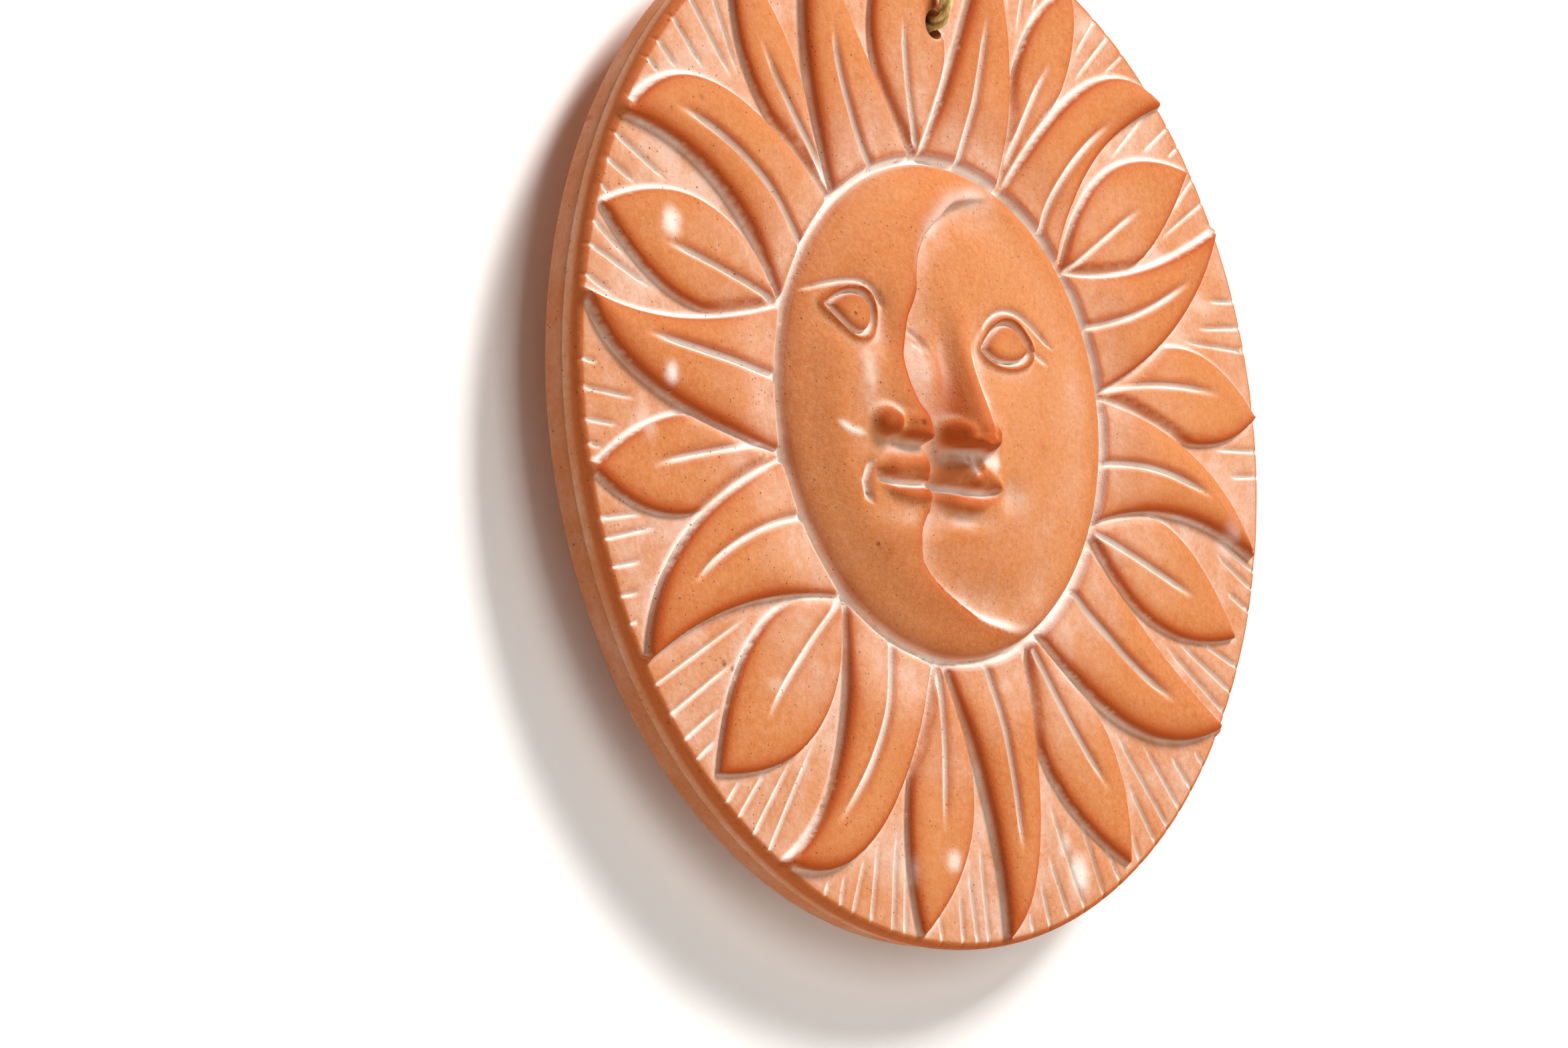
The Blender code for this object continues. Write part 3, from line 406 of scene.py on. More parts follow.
def petal_relief(points):
    """Rays over leaves over the field: height, wash in the cuts, wash at the outlines and thin wash."""
    radius = distance_from(points, RING_CENTRE)
    rays, leaves, filled = np.zeros((3, len(points)))
    ray_gap, leaf_gap, edge_gap = np.full((3, len(points)), FAR)
    on_ray, on_leaf = np.zeros((2, len(points)), bool)
    for row in RAYS:
        near, within, gap, cut = petal_shape(points, row, RAY_RIB_WIDTH)
        round_top = 0.45 * quarter_round(gap / PETAL_EDGE) + 0.55 * quarter_round(gap / RAY_CROWN)
        from_ring = 0.6 + 0.4 * ramp((radius[near] - 57) / 16)
        height = RAY_HEIGHT * round_top * from_ring - RIB_DEPTH * cut
        rays[near] = np.where(within, height, rays[near])
        ray_gap[near] = np.where(within, 0, np.minimum(ray_gap[near], gap))
        on_ray[near] |= within
        filled[near] = np.where(within, cut ** 1.4, filled[near])
        edge_gap[near] = np.where(within, gap, edge_gap[near])
    for row in LEAVES:
        near, within, gap, cut = petal_shape(points, row, LEAF_RIB_WIDTH)
        round_top = 0.5 * quarter_round(gap / PETAL_EDGE) + 0.5 * quarter_round(gap / LEAF_CROWN)
        beside_ray = 0.15 + 0.85 * ramp(ray_gap[near] / 3.2)
        height = (LEAF_HEIGHT * round_top - 0.8 * RIB_DEPTH * cut) * beside_ray
        leaves[near] = np.where(within, np.maximum(leaves[near], height), leaves[near])
        leaf_gap[near] = np.where(within, 0, np.minimum(leaf_gap[near], gap))
        within = within & ~on_ray[near]
        on_leaf[near] |= within
        filled[near] = np.where(within, cut ** 1.4, filled[near])
        edge_gap[near] = np.where(within, gap, edge_gap[near])
    in_field = ~on_ray & ~on_leaf
    outside_gap = np.where(on_ray, FAR, ray_gap)
    outside_gap = np.where(in_field, np.minimum(outside_gap, leaf_gap), outside_gap)
    cuts = np.where(in_field, knife_cuts(points) * ramp(outside_gap / 0.8), 0)
    at_rim = 1 - 0.4 * ramp((np.hypot(*points.T) - 112.5) / 1.5)
    height = np.where(on_ray, rays, leaves) - FOOT_DEPTH * np.exp(-(outside_gap / FOOT_WIDTH) ** 2)
    height = height - HATCH_DEPTH * cuts * at_rim
    filled = np.maximum(filled, cuts)
    deposit = FOOT_WASH * np.exp(-(np.minimum(outside_gap, 2.5 * edge_gap) / 0.7) ** 2)
    thin = np.where(on_ray, 0.50 * (1 - ramp((radius - 57) / 26)) + 0.06, 0.45)
    thin = np.where(on_leaf, 0.55 * (1 - ramp((radius - 60) / 34)) + 0.08, thin)
    thin = np.where(in_field, 0.60 - 0.14 * ramp((radius - 95) / 18), thin)
    thin = np.maximum(thin, 0.75 * np.exp(-outside_gap / 3.2))
    thin = np.maximum(thin, 0.75 * np.exp(-(edge_gap / 0.3) ** 2))
    return height, filled, deposit, thin


def eye_relief(points, outline, lid):
    """Ball, lid rim and the groove round both."""
    gap = line_distance(points, np.vstack([outline, outline[:1]]))[0]
    within = inside(points, outline)
    ball = np.where(within, 1.6 * quarter_round(gap / 2.8) - 0.4, 0)
    rim = np.where(within, 0, 0.9 * np.exp(-((gap - 1.35) / 0.8) ** 2))
    return ball + rim - 0.8 * np.exp(-(gap / 0.5) ** 2) + stroke(points, lid, 0.65, -0.8, 0.15)


def face_relief(points):
    """Domed disc with the moon's profile over the sun's full face, in millimetres."""
    radius = distance_from(points, RING_CENTRE)
    dome = FACE_EDGE_HEIGHT * quarter_round((FACE_RADIUS - radius) / 5.0)
    dome = dome + FACE_DOME_HEIGHT * np.clip(1 - (radius / FACE_RADIUS) ** 2, 0, 1)
    line_gap = line_distance(points, MOON_LINE)[0]
    on_moon = inside(points, MOON_AREA)
    inner = ramp((FACE_RADIUS - radius - 1.0) / 13)
    level = np.interp(-points[:, 1], [-p[1] for p in PROFILE], [p[0] for p in PROFILE])
    nose = along_table(points[:, 1], MOON_NOSE_LEVELS, MOON_NOSE_RISE)
    moon = dome + MOON_LIFT * inner
    moon = moon + nose * np.exp(-((points[:, 0] - level + 1.5) / 6.5) ** 2)
    for form in MOON_FORMS.values():
        moon = moon + mound(points, *form)
    for form in MOON_STROKES.values():
        moon = moon + stroke(points, *form)
    moon = moon + eye_relief(points, MOON_EYE, MOON_LID)
    nose = along_table(points[:, 1], SUN_NOSE_LEVELS, SUN_NOSE_RISE) * NOSE_HEIGHT / max(SUN_NOSE_RISE)
    width = along_table(points[:, 1], SUN_NOSE_LEVELS, SUN_NOSE_WIDTH)
    low_side = 1.9 + 0.7 * np.exp(-((points[:, 1] - 6) / 16) ** 2)
    sun = dome - inner * (0.7 + low_side * np.exp(-(line_gap / 8.0) ** 2))
    sun = sun + nose * np.exp(-((np.abs(points[:, 0] - SUN_NOSE_MIDDLE) / width) ** 2) ** 1.15)
    for middle, aside, *form in SUN_PAIRS.values():
        for side in (-1, 1):
            sun = sun + mound(points, middle + side * aside, *form)
    for form in SUN_FORMS.values():
        sun = sun + mound(points, *form)
    for form in SUN_STROKES.values():
        sun = sun + stroke(points, *form)
    sun = sun + eye_relief(points, SUN_EYE, SUN_LID)
    wall = ramp(line_gap / 1.9)
    crest = moon - 0.5 * inner * np.exp(-(line_gap / 0.9) ** 2)
    return np.where(on_moon, crest, sun * wall + crest * (1 - wall))


def face_wash(points):
    """Where wash was left on the face: a few streaks and corners of dense wash, and thin wash."""
    line_gap, along = line_distance(points, MOON_LINE)
    sun_side = ~inside(points, MOON_AREA)
    foot = ramp((along - 0.54) / 0.12) * ramp((0.985 - along) / 0.12) * sun_side
    horn = ramp((0.24 - along) / 0.10) * ramp((along + 0.02) / 0.06)
    dense = 0.95 * foot * np.exp(-((line_gap - 1.5) / 1.2) ** 2)
    dense = np.maximum(dense, 0.45 * horn * np.exp(-(line_gap / 2.2) ** 2))
    # Thin wash along the moon's upper crest, partly painted highlight on that crest.
    upper = ramp((0.34 - along) / 0.12) * ramp(along / 0.1) * ~sun_side
    thin = 0.08 + 0.8 * upper * np.exp(-(line_gap / 1.6) ** 2)
    thin += 0.30 * sun_side * np.exp(-(line_gap / 5.0) ** 2)
    for line, width, amount in FACE_STREAKS:
        dense = np.maximum(dense, stroke(points, line, width, amount, 0.3))
    for outline in (MOON_EYE, SUN_EYE):
        gap = line_distance(points, np.vstack([outline, outline[:1]]))[0]
        dense = np.maximum(dense, 0.55 * np.exp(-(gap / 0.5) ** 2))
    for cloud in FACE_CLOUDS:
        thin += mound(points, *cloud)
    return dense, np.clip(thin, 0, 0.9)


def relief(points):
    """The whole front at drawn points: height, wash in the cuts, wash at the outlines and thin wash."""
    radius = distance_from(points, RING_CENTRE)
    height, filled, deposit, thin = petal_relief(points)
    fade = ramp((radius - FACE_RADIUS) / 1.9)
    height = height * fade
    filled = filled * fade
    deposit = deposit * fade
    face = np.flatnonzero(radius < FACE_RADIUS)
    height[face] = face_relief(points[face])
    filled[face], thin[face] = face_wash(points[face])
    height -= RING_DEPTH * np.exp(-(radius - RING_RADIUS) ** 2)
    filled = np.maximum(filled, 0.9 * np.exp(-((radius - RING_RADIUS) / 0.95) ** 2))
    hole_gap = np.maximum(0, distance_from(points, HOLE_PLACE) - HOLE_RADIUS)
    height -= 0.7 * np.exp(-(hole_gap / 0.6) ** 2)
    height += 0.10 * ripple(points, 26, 3) + 0.05 * ripple(points, 9, 5)
    height = np.minimum(height, DEEPEST - FIELD_DEPTH)
    return height, filled, deposit, thin


class Net:
    """Points of the carved front, kept a least distance apart, and the edges that creases follow."""

    PITCH = 0.1

    def __init__(self, radius):
        self.size = int(2 * (radius + 4) / self.PITCH)
        self.taken = np.zeros((self.size, self.size), bool)
        self.points = []
        self.edges = []

    def add(self, x, z, spacing):
        i = int(x / self.PITCH + self.size / 2)
        j = int(z / self.PITCH + self.size / 2)
        k = int(spacing / self.PITCH)
        if self.taken[i - k:i + k + 1, j - k:j + k + 1].any():
            return None
        self.taken[i, j] = True
        self.points.append((float(x), float(z)))
        return len(self.points) - 1

    def row(self, line, spacing, keep=None, linked=False):
        last = None
        for n, (x, z) in enumerate(line):
            index = self.add(x, z, spacing) if keep is None or keep[n] else None
            if linked and index is not None and last is not None:
                self.edges.append((last, index))
            last = index


def even(line, spacing):
    """The same line with points at an even spacing."""
    line = np.asarray(line, float)
    length = np.r_[0, np.cumsum(np.hypot(*np.diff(line, axis=0).T))]
    at = np.linspace(0, length[-1], max(2, int(round(length[-1] / spacing)) + 1))
    return np.c_[np.interp(at, length, line[:, 0]), np.interp(at, length, line[:, 1])]


def beside(line, gap):
    """The same line moved aside by a gap."""
    run = np.gradient(line, axis=0)
    run /= np.hypot(run[:, 0], run[:, 1])[:, None]
    return line + gap * np.c_[-run[:, 1], run[:, 0]]


def loop(centre, radius, spacing):
    steps = int(2 * math.pi * radius / spacing)
    return np.array([on_circle(360.0 * i / steps, radius, centre) for i in range(steps + 1)])


def rim_angles():
    """Angles of the rim's points: even, with more where a cut runs out over the edge."""
    angles = list(np.linspace(-math.pi, math.pi, 640, endpoint=False))
    for outer, inner in FIELD_CUTS:
        reach = np.hypot(*outer)
        middle = math.atan2(outer[1] / reach, outer[0] / reach)
        angles += [middle + k * 0.45 / FIELD_RADIUS for k in (-1.6, -0.8, 0, 0.8, 1.6)]
    angles = np.sort(np.array(angles))
    return angles[np.r_[True, np.diff(angles) > 0.25 / FIELD_RADIUS]]


# How far beside each kind of line its rows of points run
EDGE_ROWS = (0.32, 0.66, 1.05, 1.5)
RIB_ROWS = (0, -0.45, 0.45, -0.95, 0.95, -1.6, 1.6)
CUT_ROWS = (0, -0.4, 0.4, -0.85, 0.85)
PROFILE_ROWS = (0, -0.35, 0.35, -0.8, 0.8, -1.3, 1.3, -1.9, 1.9, -2.5)
EYE_ROWS = (0, -0.4, 0.4, -0.8, 0.8, -1.3, 1.3, -1.9, 1.9)
LID_ROWS = (0, -0.45, 0.45, -0.9, 0.9)
MOUTH_ROWS = (0, -0.4, 0.4, -0.8, 0.8, -1.2, 1.2)
RING_ROWS = (RING_RADIUS, FACE_RADIUS, PETAL_BASE, RING_RADIUS + 1.7, FACE_RADIUS - 0.5, FACE_RADIUS - 1.2)
HOLE_ROWS = (HOLE_RADIUS - 0.5, HOLE_RADIUS + 0.15, HOLE_RADIUS + 0.5, HOLE_RADIUS + 1.0)
# Evenly spread points, closest on the eyes, noses and mouths: spacing, left, right, low and high
FILLS = ((0.62, -50, 36, -27, 30), (0.85, -57, 55, -55, 58), (1.15, -116, 116, -116, 116))
NET_LIMIT = FIELD_RADIUS - 0.45
FACE_LIMIT = FACE_RADIUS - 0.8


def carved_rows(rays, leaves):
    """Rows on petals and cuts: line, spacing, whether rays may cover it, and whether a crease follows it."""
    rows = []
    for group, low_layer in ((rays, False), (leaves, True)):
        for edge_1, edge_2, _ in group:
            rows += [(even(edge, 0.8), 0.22, low_layer, True) for edge in (edge_1, edge_2)]
        for edge_1, edge_2, rib in group:
            for gap in EDGE_ROWS:
                step, spacing = (0.8, 0.2) if gap < 0.5 else (1.0, 0.28)
                for edge in (edge_1, edge_2):
                    line = even(edge, step)
                    rows += [(beside(line, side), spacing, low_layer, False) for side in (-gap, gap)]
            for side in RIB_ROWS:
                rows.append((beside(even(rib, 0.9), side), 0.3, low_layer, side == 0))
    for outer, inner in FIELD_CUTS:
        line = even(full_cut(outer, inner), 0.9)
        rows += [(beside(line, side), 0.28, True, False) for side in CUT_ROWS]
    return rows


def add_carved_rows(net):
    """Puts in those rows outside the ring and the hole, and of the low layer only what no ray covers."""
    rays = [petal_lines(row, 60) for row in RAYS]
    leaves = [petal_lines(row, 60) for row in LEAVES]
    rows = carved_rows(rays, leaves)
    every = np.vstack([row[0] for row in rows])
    usable = (np.hypot(*every.T) < NET_LIMIT) & (distance_from(every, RING_CENTRE) > PETAL_BASE + 0.3)
    usable &= distance_from(every, HOLE_PLACE) > HOLE_RADIUS + 0.4
    covered = np.zeros(len(every), bool)
    for edge_1, edge_2, _ in rays:
        area = np.vstack([edge_1, edge_2[::-1]])
        near = close_by(every, area, 0.3)
        covered[near] |= inside(every[near], area)
    start = 0
    for line, spacing, low_layer, linked in rows:
        part = slice(start, start + len(line))
        net.row(line, spacing, usable[part] & ~(covered[part] & low_layer), linked)
        start += len(line)


def add_face_rows(net):
    """Puts in the rows along the profile, the eyes, the lids and the mouths."""
    moon = even(MOON_LINE, 0.7)
    on_face = distance_from(moon, RING_CENTRE) < FACE_LIMIT
    for side in PROFILE_ROWS:
        net.row(beside(moon, side), 0.28, on_face, linked=side == 0)
    for outline, lid in ((MOON_EYE, MOON_LID), (SUN_EYE, SUN_LID)):
        closed = even(np.vstack([outline, outline[:1]]), 0.5)
        for side in EYE_ROWS:
            net.row(beside(closed, side), 0.27)
        for side in LID_ROWS:
            net.row(beside(even(lid, 0.5), side), 0.27)
    for line in (MOON_MOUTH, MOON_FOLD, SUN_MOUTH):
        for side in MOUTH_ROWS:
            net.row(beside(even(smooth_line(line, 4), 0.6), side), 0.3)


def add_fills(net):
    """Fills what is left with points in staggered rows."""
    for spacing, left, right, low, high in FILLS:
        for j, z in enumerate(np.arange(low, high, spacing * 0.866)):
            for x in np.arange(left + 0.5 * (j % 2) * spacing, right, spacing):
                to_ring = math.hypot(x - RING_CENTRE[0], z - RING_CENTRE[1])
                to_hole = math.hypot(x - HOLE_PLACE[0], z - HOLE_PLACE[1])
                if spacing < 1 and to_ring > FACE_LIMIT:
                    continue
                if math.hypot(x, z) > NET_LIMIT - 0.3 or to_hole < HOLE_RADIUS - 0.3:
                    continue
                net.add(x, z, 0.55 * spacing)


def front_net():
    """All points of the carved front, its rim first."""
    net = Net(DRAWN_RADIUS)
    rim = [net.add(FIELD_RADIUS * math.cos(a), FIELD_RADIUS * math.sin(a), 0) for a in rim_angles()]
    rim = [index for index in rim if index is not None]
    net.edges += list(zip(rim, rim[1:] + rim[:1]))
    for radius in RING_ROWS:
        net.row(loop(RING_CENTRE, radius, 0.9)[:-1], 0.3)
    for radius in HOLE_ROWS:
        net.row(loop(HOLE_PLACE, radius, 0.5)[:-1], 0.25)
    add_carved_rows(net)
    add_face_rows(net)
    add_fills(net)
    return net


def edge_profile():
    """From the field over the edge to the back: radius, depth, and how much of the relief runs out there."""
    rows = []
    for turn in np.radians([18, 36, 54, 72, 90]):
        radius = FIELD_RADIUS + EDGE_ROUND * math.sin(turn)
        rows.append((radius, FIELD_DEPTH - EDGE_ROUND * (1 - math.cos(turn)), math.cos(turn) ** 0.7))
    seam = 0.5 * (DRAWN_RADIUS + BACK_RADIUS)
    rows += [
        (DRAWN_RADIUS - 0.12, 7.6, 0), (seam + 0.12, PARTING_DEPTH + 0.45, 0),
        (seam + 0.12, PARTING_DEPTH + 0.16, 0), (seam - 0.2, PARTING_DEPTH, 0),
        (seam - 0.02, PARTING_DEPTH - 0.25, 0), (BACK_RADIUS + 0.2, 3.0, 0),
        (BACK_RADIUS, BACK_CHAMFER + 0.4, 0), (BACK_RADIUS - 0.12, 0.5 * BACK_CHAMFER, 0),
        (BACK_RADIUS - BACK_CHAMFER, 0.0, 0),
    ]
    return rows


def plaque_shell():
    """The closed clay disc, before the hole and the gouge are cut."""
    net = front_net()
    points, _, triangles, _, _, _ = delaunay_2d_cdt([Vector(p) for p in net.points], net.edges, [], 0, 0.01)
    drawn = np.array([(p.x, p.y) for p in points])
    height = relief(drawn)[0]
    solid = np.c_[drawn[:, 0], -(FIELD_DEPTH + height), drawn[:, 1]] * METRES
    mesh = bmesh.new()
    front = [mesh.verts.new(place) for place in solid]
    for triangle in triangles:
        a, b, c = (drawn[i] for i in triangle)
        turn = (b[0] - a[0]) * (c[1] - a[1]) - (b[1] - a[1]) * (c[0] - a[0])
        mesh.faces.new([front[i] for i in (triangle if turn > 0 else triangle[::-1])])
    rim = [i for i in range(len(drawn)) if math.hypot(*drawn[i]) > FIELD_RADIUS - 0.05]
    rim.sort(key=lambda i: math.atan2(drawn[i][1], drawn[i][0]))
    angles = np.array([math.atan2(drawn[i][1], drawn[i][0]) for i in rim])
    uneven = ripple(np.c_[np.cos(angles), np.sin(angles)] * 60, 30, 8)
    rings = [[front[i] for i in rim]]
    for radius, depth, share in edge_profile():
        ring = []
        for angle, wave, i in zip(angles, uneven, rim):
            there = radius - EDGE_WAVE * (1 + wave) * (1 - share) if depth else radius
            out = share * height[i] if height[i] < 0 else share * share * height[i]
            place = (there * math.cos(angle), -(depth + out), there * math.sin(angle))
            ring.append(mesh.verts.new([METRES * value for value in place]))
        rings.append(ring)
    for upper, lower in zip(rings, rings[1:]):
        for i in range(len(upper)):
            j = (i + 1) % len(upper)
            mesh.faces.new((upper[j], upper[i], lower[i], lower[j]))
    mesh.faces.new(rings[-1])
    bmesh.ops.recalc_face_normals(mesh, faces=mesh.faces)
    data = bpy.data.meshes.new("plaque_shell")
    mesh.to_mesh(data)
    mesh.free()
    return data


def cutter(name, radius, depth, centre, rotation, scale=(1, 1, 1), sides=48):
    """A round bar for cutting with."""
    mesh = bmesh.new()
    bmesh.ops.create_cone(mesh, cap_ends=True, segments=sides, radius1=radius, radius2=radius, depth=depth)
    data = bpy.data.meshes.new(name)
    mesh.to_mesh(data)
    mesh.free()
    item = bpy.data.objects.new(name, data)
    item.location = centre
    item.rotation_euler = rotation
    item.scale = scale
    bpy.context.scene.collection.objects.link(item)
    return item


def cut_shell():
    """The disc with the string hole through it and the gouge up its back, as one mesh."""
    shell = bpy.data.objects.new("shell", plaque_shell())
    bpy.context.scene.collection.objects.link(shell)
    hole = cutter("hole_cutter", HOLE_RADIUS * METRES, 0.06, (0, -0.006, HOLE_PLACE[1] * METRES),
                  (math.radians(90), 0, 0))
    reach = (DRAWN_RADIUS - HOLE_PLACE[1]) * METRES + 0.01
    gouge = cutter("gouge_cutter", GROOVE_DEPTH * METRES, reach, (0, 0, HOLE_PLACE[1] * METRES + reach / 2),
                   (0, 0, 0), (GROOVE_HALF_WIDTH / GROOVE_DEPTH, 1, 1))
    for tool in (hole, gouge):
        cut = shell.modifiers.new(tool.name, "BOOLEAN")
        cut.operation = "DIFFERENCE"
        cut.solver = "EXACT"
        cut.object = tool
    shaped = shell.evaluated_get(bpy.context.evaluated_depsgraph_get())
    data = bpy.data.meshes.new_from_object(shaped)
    for item in (shell, hole, gouge):
        bpy.data.objects.remove(item, do_unlink=True)
    return data


# The relief is also read on an even grid, for how hollow and how steep it is
GRID_PITCH = 0.4
GRID_REACH = 118


def blurred(grid, width):
    """The grid smoothed by a bell curve of the given width in cells."""
    wave = np.fft.fftfreq(len(grid))
    bell = np.exp(-2 * (np.pi * width * wave) ** 2)
    return np.fft.ifft2(np.fft.fft2(grid) * bell[:, None] * bell[None, :]).real


def read_grid(grid, points):
    """The grid's values at the points, straight between its cells."""
    at = points / GRID_PITCH + len(grid) / 2
    i, j = np.clip(np.floor(at).astype(int), 0, len(grid) - 2).T
    u, v = (at - np.floor(at)).T
    return ((1 - u) * (1 - v) * grid[i, j] + u * (1 - v) * grid[i + 1, j]
            + (1 - u) * v * grid[i, j + 1] + u * v * grid[i + 1, j + 1])


HOLLOW_WIDTHS = (0.7, 2.0, 6.0)
SLOPE_WIDTH = 0.8
LIGHT_SHARES = (0.62, 0.78)


def lie_of_surface(points, height):
    """How hollow each point lies at three widths, how steep it is and how far it turns up to the right,
    toward the lamp, for painted light and shade.
    """
    side = np.arange(-GRID_REACH, GRID_REACH, GRID_PITCH)
    grid_points = np.stack(np.meshgrid(side, side, indexing="ij"), axis=-1).reshape(-1, 2)
    grid = relief(grid_points)[0].reshape(len(side), len(side))
    hollows = [read_grid(blurred(grid, width / GRID_PITCH), points) - height for width in HOLLOW_WIDTHS]
    rise_x, rise_z = np.gradient(blurred(grid, SLOPE_WIDTH / GRID_PITCH), GRID_PITCH)
    slope = read_grid(np.hypot(rise_x, rise_z), points)
    light_facing = read_grid(-(LIGHT_SHARES[0] * rise_x + LIGHT_SHARES[1] * rise_z), points)
    return hollows, slope, light_facing


def wash_wear_and_painted_shade(places):
    """Shares from 0 to 1 of dense wash, thin wash, bare clay with painted shade, and stain with painted shade
    in the hole, at places on the finished disc.
    """
    spots = places[:, [0, 2]]
    depth = -places[:, 1]
    flat_radius = np.hypot(*spots.T)
    on_face = distance_from(spots, RING_CENTRE) < FACE_RADIUS
    on_front = (depth > FIELD_DEPTH - EDGE_ROUND - 0.5) & (flat_radius < DRAWN_RADIUS - 1.2)
    in_hole = (distance_from(spots, HOLE_PLACE) < HOLE_RADIUS + 0.05) & (depth > 0.2)
    rounding = ramp((flat_radius - FIELD_RADIUS + 0.3) / 1.0) * ramp((depth - 7.0) / 1.5)
    height, filled, deposit, thin = relief(spots)
    (fine, middle, wide), slope, light_facing = lie_of_surface(spots, height)

    # Painted light and shade: dense wash, and off the face thin wash, are kept on surfaces turned up toward
    # the lamp and cut back to little on walls turned from it.
    lit_side_share = 0.12 + 0.88 * ramp(0.5 + light_facing / 0.7)
    dense = np.maximum(np.maximum(filled, deposit * lit_side_share), (2.6 * fine + 0.35 * middle - 0.12) * lit_side_share)
    for x, z, half_x, half_z, amount in BLOTCHES:
        uneven_x = x + 0.25 * half_x * ripple(spots, 3.0, 21)
        dense = np.maximum(dense, mound(spots, uneven_x, z, half_x, half_z, amount, 1.5))
    dense = np.clip(dense, 0, 1) * ramp((FIELD_RADIUS + 0.7 - flat_radius) / 0.9) * (depth > 8)

    thin = np.clip(thin + 0.25 * middle + 0.10 * wide, 0, 1) * np.where(on_face, 1.0, 0.65 + 0.35 * lit_side_share)
    side_wash = np.where(depth > PARTING_DEPTH, 0.34, 0.26)
    thin = np.where(on_front, thin * (1 - 0.9 * rounding), side_wash * (1 - rounding))

    # Painted shade as bare clay: on steep walls turned from the lamp, less in hollows, and on the front rim's
    # rounding; the back and the lower side are bare clay.
    bare_and_shaded = np.where(on_face, 0.20, 0.50) * slope - np.where(on_face, 0.18, 0.90) * light_facing
    bare_and_shaded = np.clip(bare_and_shaded - 1.6 * fine - 0.30 * middle - 0.10 * wide, 0, 1)
    bare_and_shaded = np.maximum(bare_and_shaded, np.where(on_front | (depth > PARTING_DEPTH), 0.75 * rounding, 0.45))
    bare_and_shaded = np.maximum(bare_and_shaded, mound(spots, *NOSE_PAINTED_SHADE) * on_front)

    stain_and_hole_shade = np.zeros(len(spots))
    for x, z, size in STAINS:
        stain_and_hole_shade = np.maximum(stain_and_hole_shade, mound(spots, x, z, size, size, 1.0, 1.5))
    # Painted shade inside the hole: full deep in the hole and less near its front lip.
    stain_and_hole_shade = np.where(in_hole, np.where(depth > FIELD_DEPTH - 1.5, 0.45, 1.0), stain_and_hole_shade * on_front)
    return {
        "dense_wash": np.where(in_hole, 0.0, dense),
        "thin_wash": np.where(in_hole, 0.0, thin),
        "bare_and_shaded": bare_and_shaded,
        "stain_and_hole_shade": stain_and_hole_shade,
    }


plaque_mesh = cut_shell()
places = np.empty(len(plaque_mesh.vertices) * 3)
plaque_mesh.vertices.foreach_get("co", places)
for name, values in wash_wear_and_painted_shade(places.reshape(-1, 3) / METRES).items():
    layer = plaque_mesh.attributes.new(name, "FLOAT", "POINT")
    layer.data.foreach_set("value", values.astype(np.float32))
plaque_mesh.shade_smooth()
plaque_mesh.set_sharp_from_angle(angle=math.radians(60))
plaque = bpy.data.objects.new("plaque", plaque_mesh)
bpy.context.scene.collection.objects.link(plaque)


def put(tree, kind, inputs=None, **settings):
    """Adds a node, with its settings and with values or sockets on its inputs."""
    node = tree.nodes.new(kind)
    for name, value in settings.items():
        setattr(node, name, value)
    for name, value in (inputs or {}).items():
        if isinstance(value, bpy.types.NodeSocket):
            tree.links.new(value, node.inputs[name])
        else:
            node.inputs[name].default_value = value
    return node


def maths(tree, operation, *values):
    return put(tree, "ShaderNodeMath", dict(enumerate(values)), operation=operation).outputs[0]


def spread(tree, value, low, high, out_low=0.0, out_high=1.0):
    """Eases a value from one range into another."""
    inputs = {"Value": value, "From Min": low, "From Max": high, "To Min": out_low, "To Max": out_high}
    return put(tree, "ShaderNodeMapRange", inputs, interpolation_type="SMOOTHSTEP").outputs[0]


def blend_colours(tree, share, under, over):
    node = put(tree, "ShaderNodeMix", data_type="RGBA")
    for place, value in ((0, share), (6, under), (7, over)):
        if isinstance(value, bpy.types.NodeSocket):
            tree.links.new(value, node.inputs[place])
        else:
            node.inputs[place].default_value = value
    return node.outputs[2]


def noise(tree, at, scale, detail=3.0, rough=0.55):
    inputs = {"Vector": at, "Scale": scale, "Detail": detail, "Roughness": rough}
    return put(tree, "ShaderNodeTexNoise", inputs).outputs[0]


def srgb(red, green, blue):
    return tuple((c / 255) ** 2.2 for c in (red, green, blue)) + (1.0,)


CLAY_DEEP = srgb(194, 121, 68)
CLAY_WARM = srgb(202, 131, 78)
CLAY_GRAIN = srgb(208, 146, 104)
CLAY_FLECK = srgb(172, 94, 46)
# Dark bare clay, also used as painted shade.
BARE_CLAY_AND_SHADE = srgb(176, 84, 32)
THIN_WASH = srgb(216, 184, 168)
DENSE_WASH = srgb(240, 230, 222)
# Dark of pits and stains, also the painted shade inside the hole.
PIT_AND_SHADE_DARK = srgb(112, 56, 34)

clay = bpy.data.materials.new("washed_terracotta")
clay.use_nodes = True
tree = clay.node_tree
shader = tree.nodes["Principled BSDF"]
at = put(tree, "ShaderNodeTexCoord").outputs["Object"]
dense_wash = put(tree, "ShaderNodeAttribute", attribute_name="dense_wash").outputs["Fac"]
thin_wash = put(tree, "ShaderNodeAttribute", attribute_name="thin_wash").outputs["Fac"]
cloud = noise(tree, at, 55.0, 5.0, 0.6)
drift = noise(tree, at, 17.0, 4.0, 0.6)
grain = noise(tree, at, 900.0, 4.0, 0.65)
speck = noise(tree, at, 2600.0, 2.0, 0.6)
clay_colour = blend_colours(tree, spread(tree, drift, 0.3, 0.7), CLAY_DEEP, CLAY_WARM)
clay_colour = blend_colours(tree, spread(tree, grain, 0.35, 0.7, 0.0, 0.65), clay_colour, CLAY_GRAIN)
body = noise(tree, at, 380.0, 4.0, 0.7)
clay_colour = blend_colours(tree, spread(tree, body, 0.5, 0.75, 0.0, 0.35), clay_colour, CLAY_FLECK)
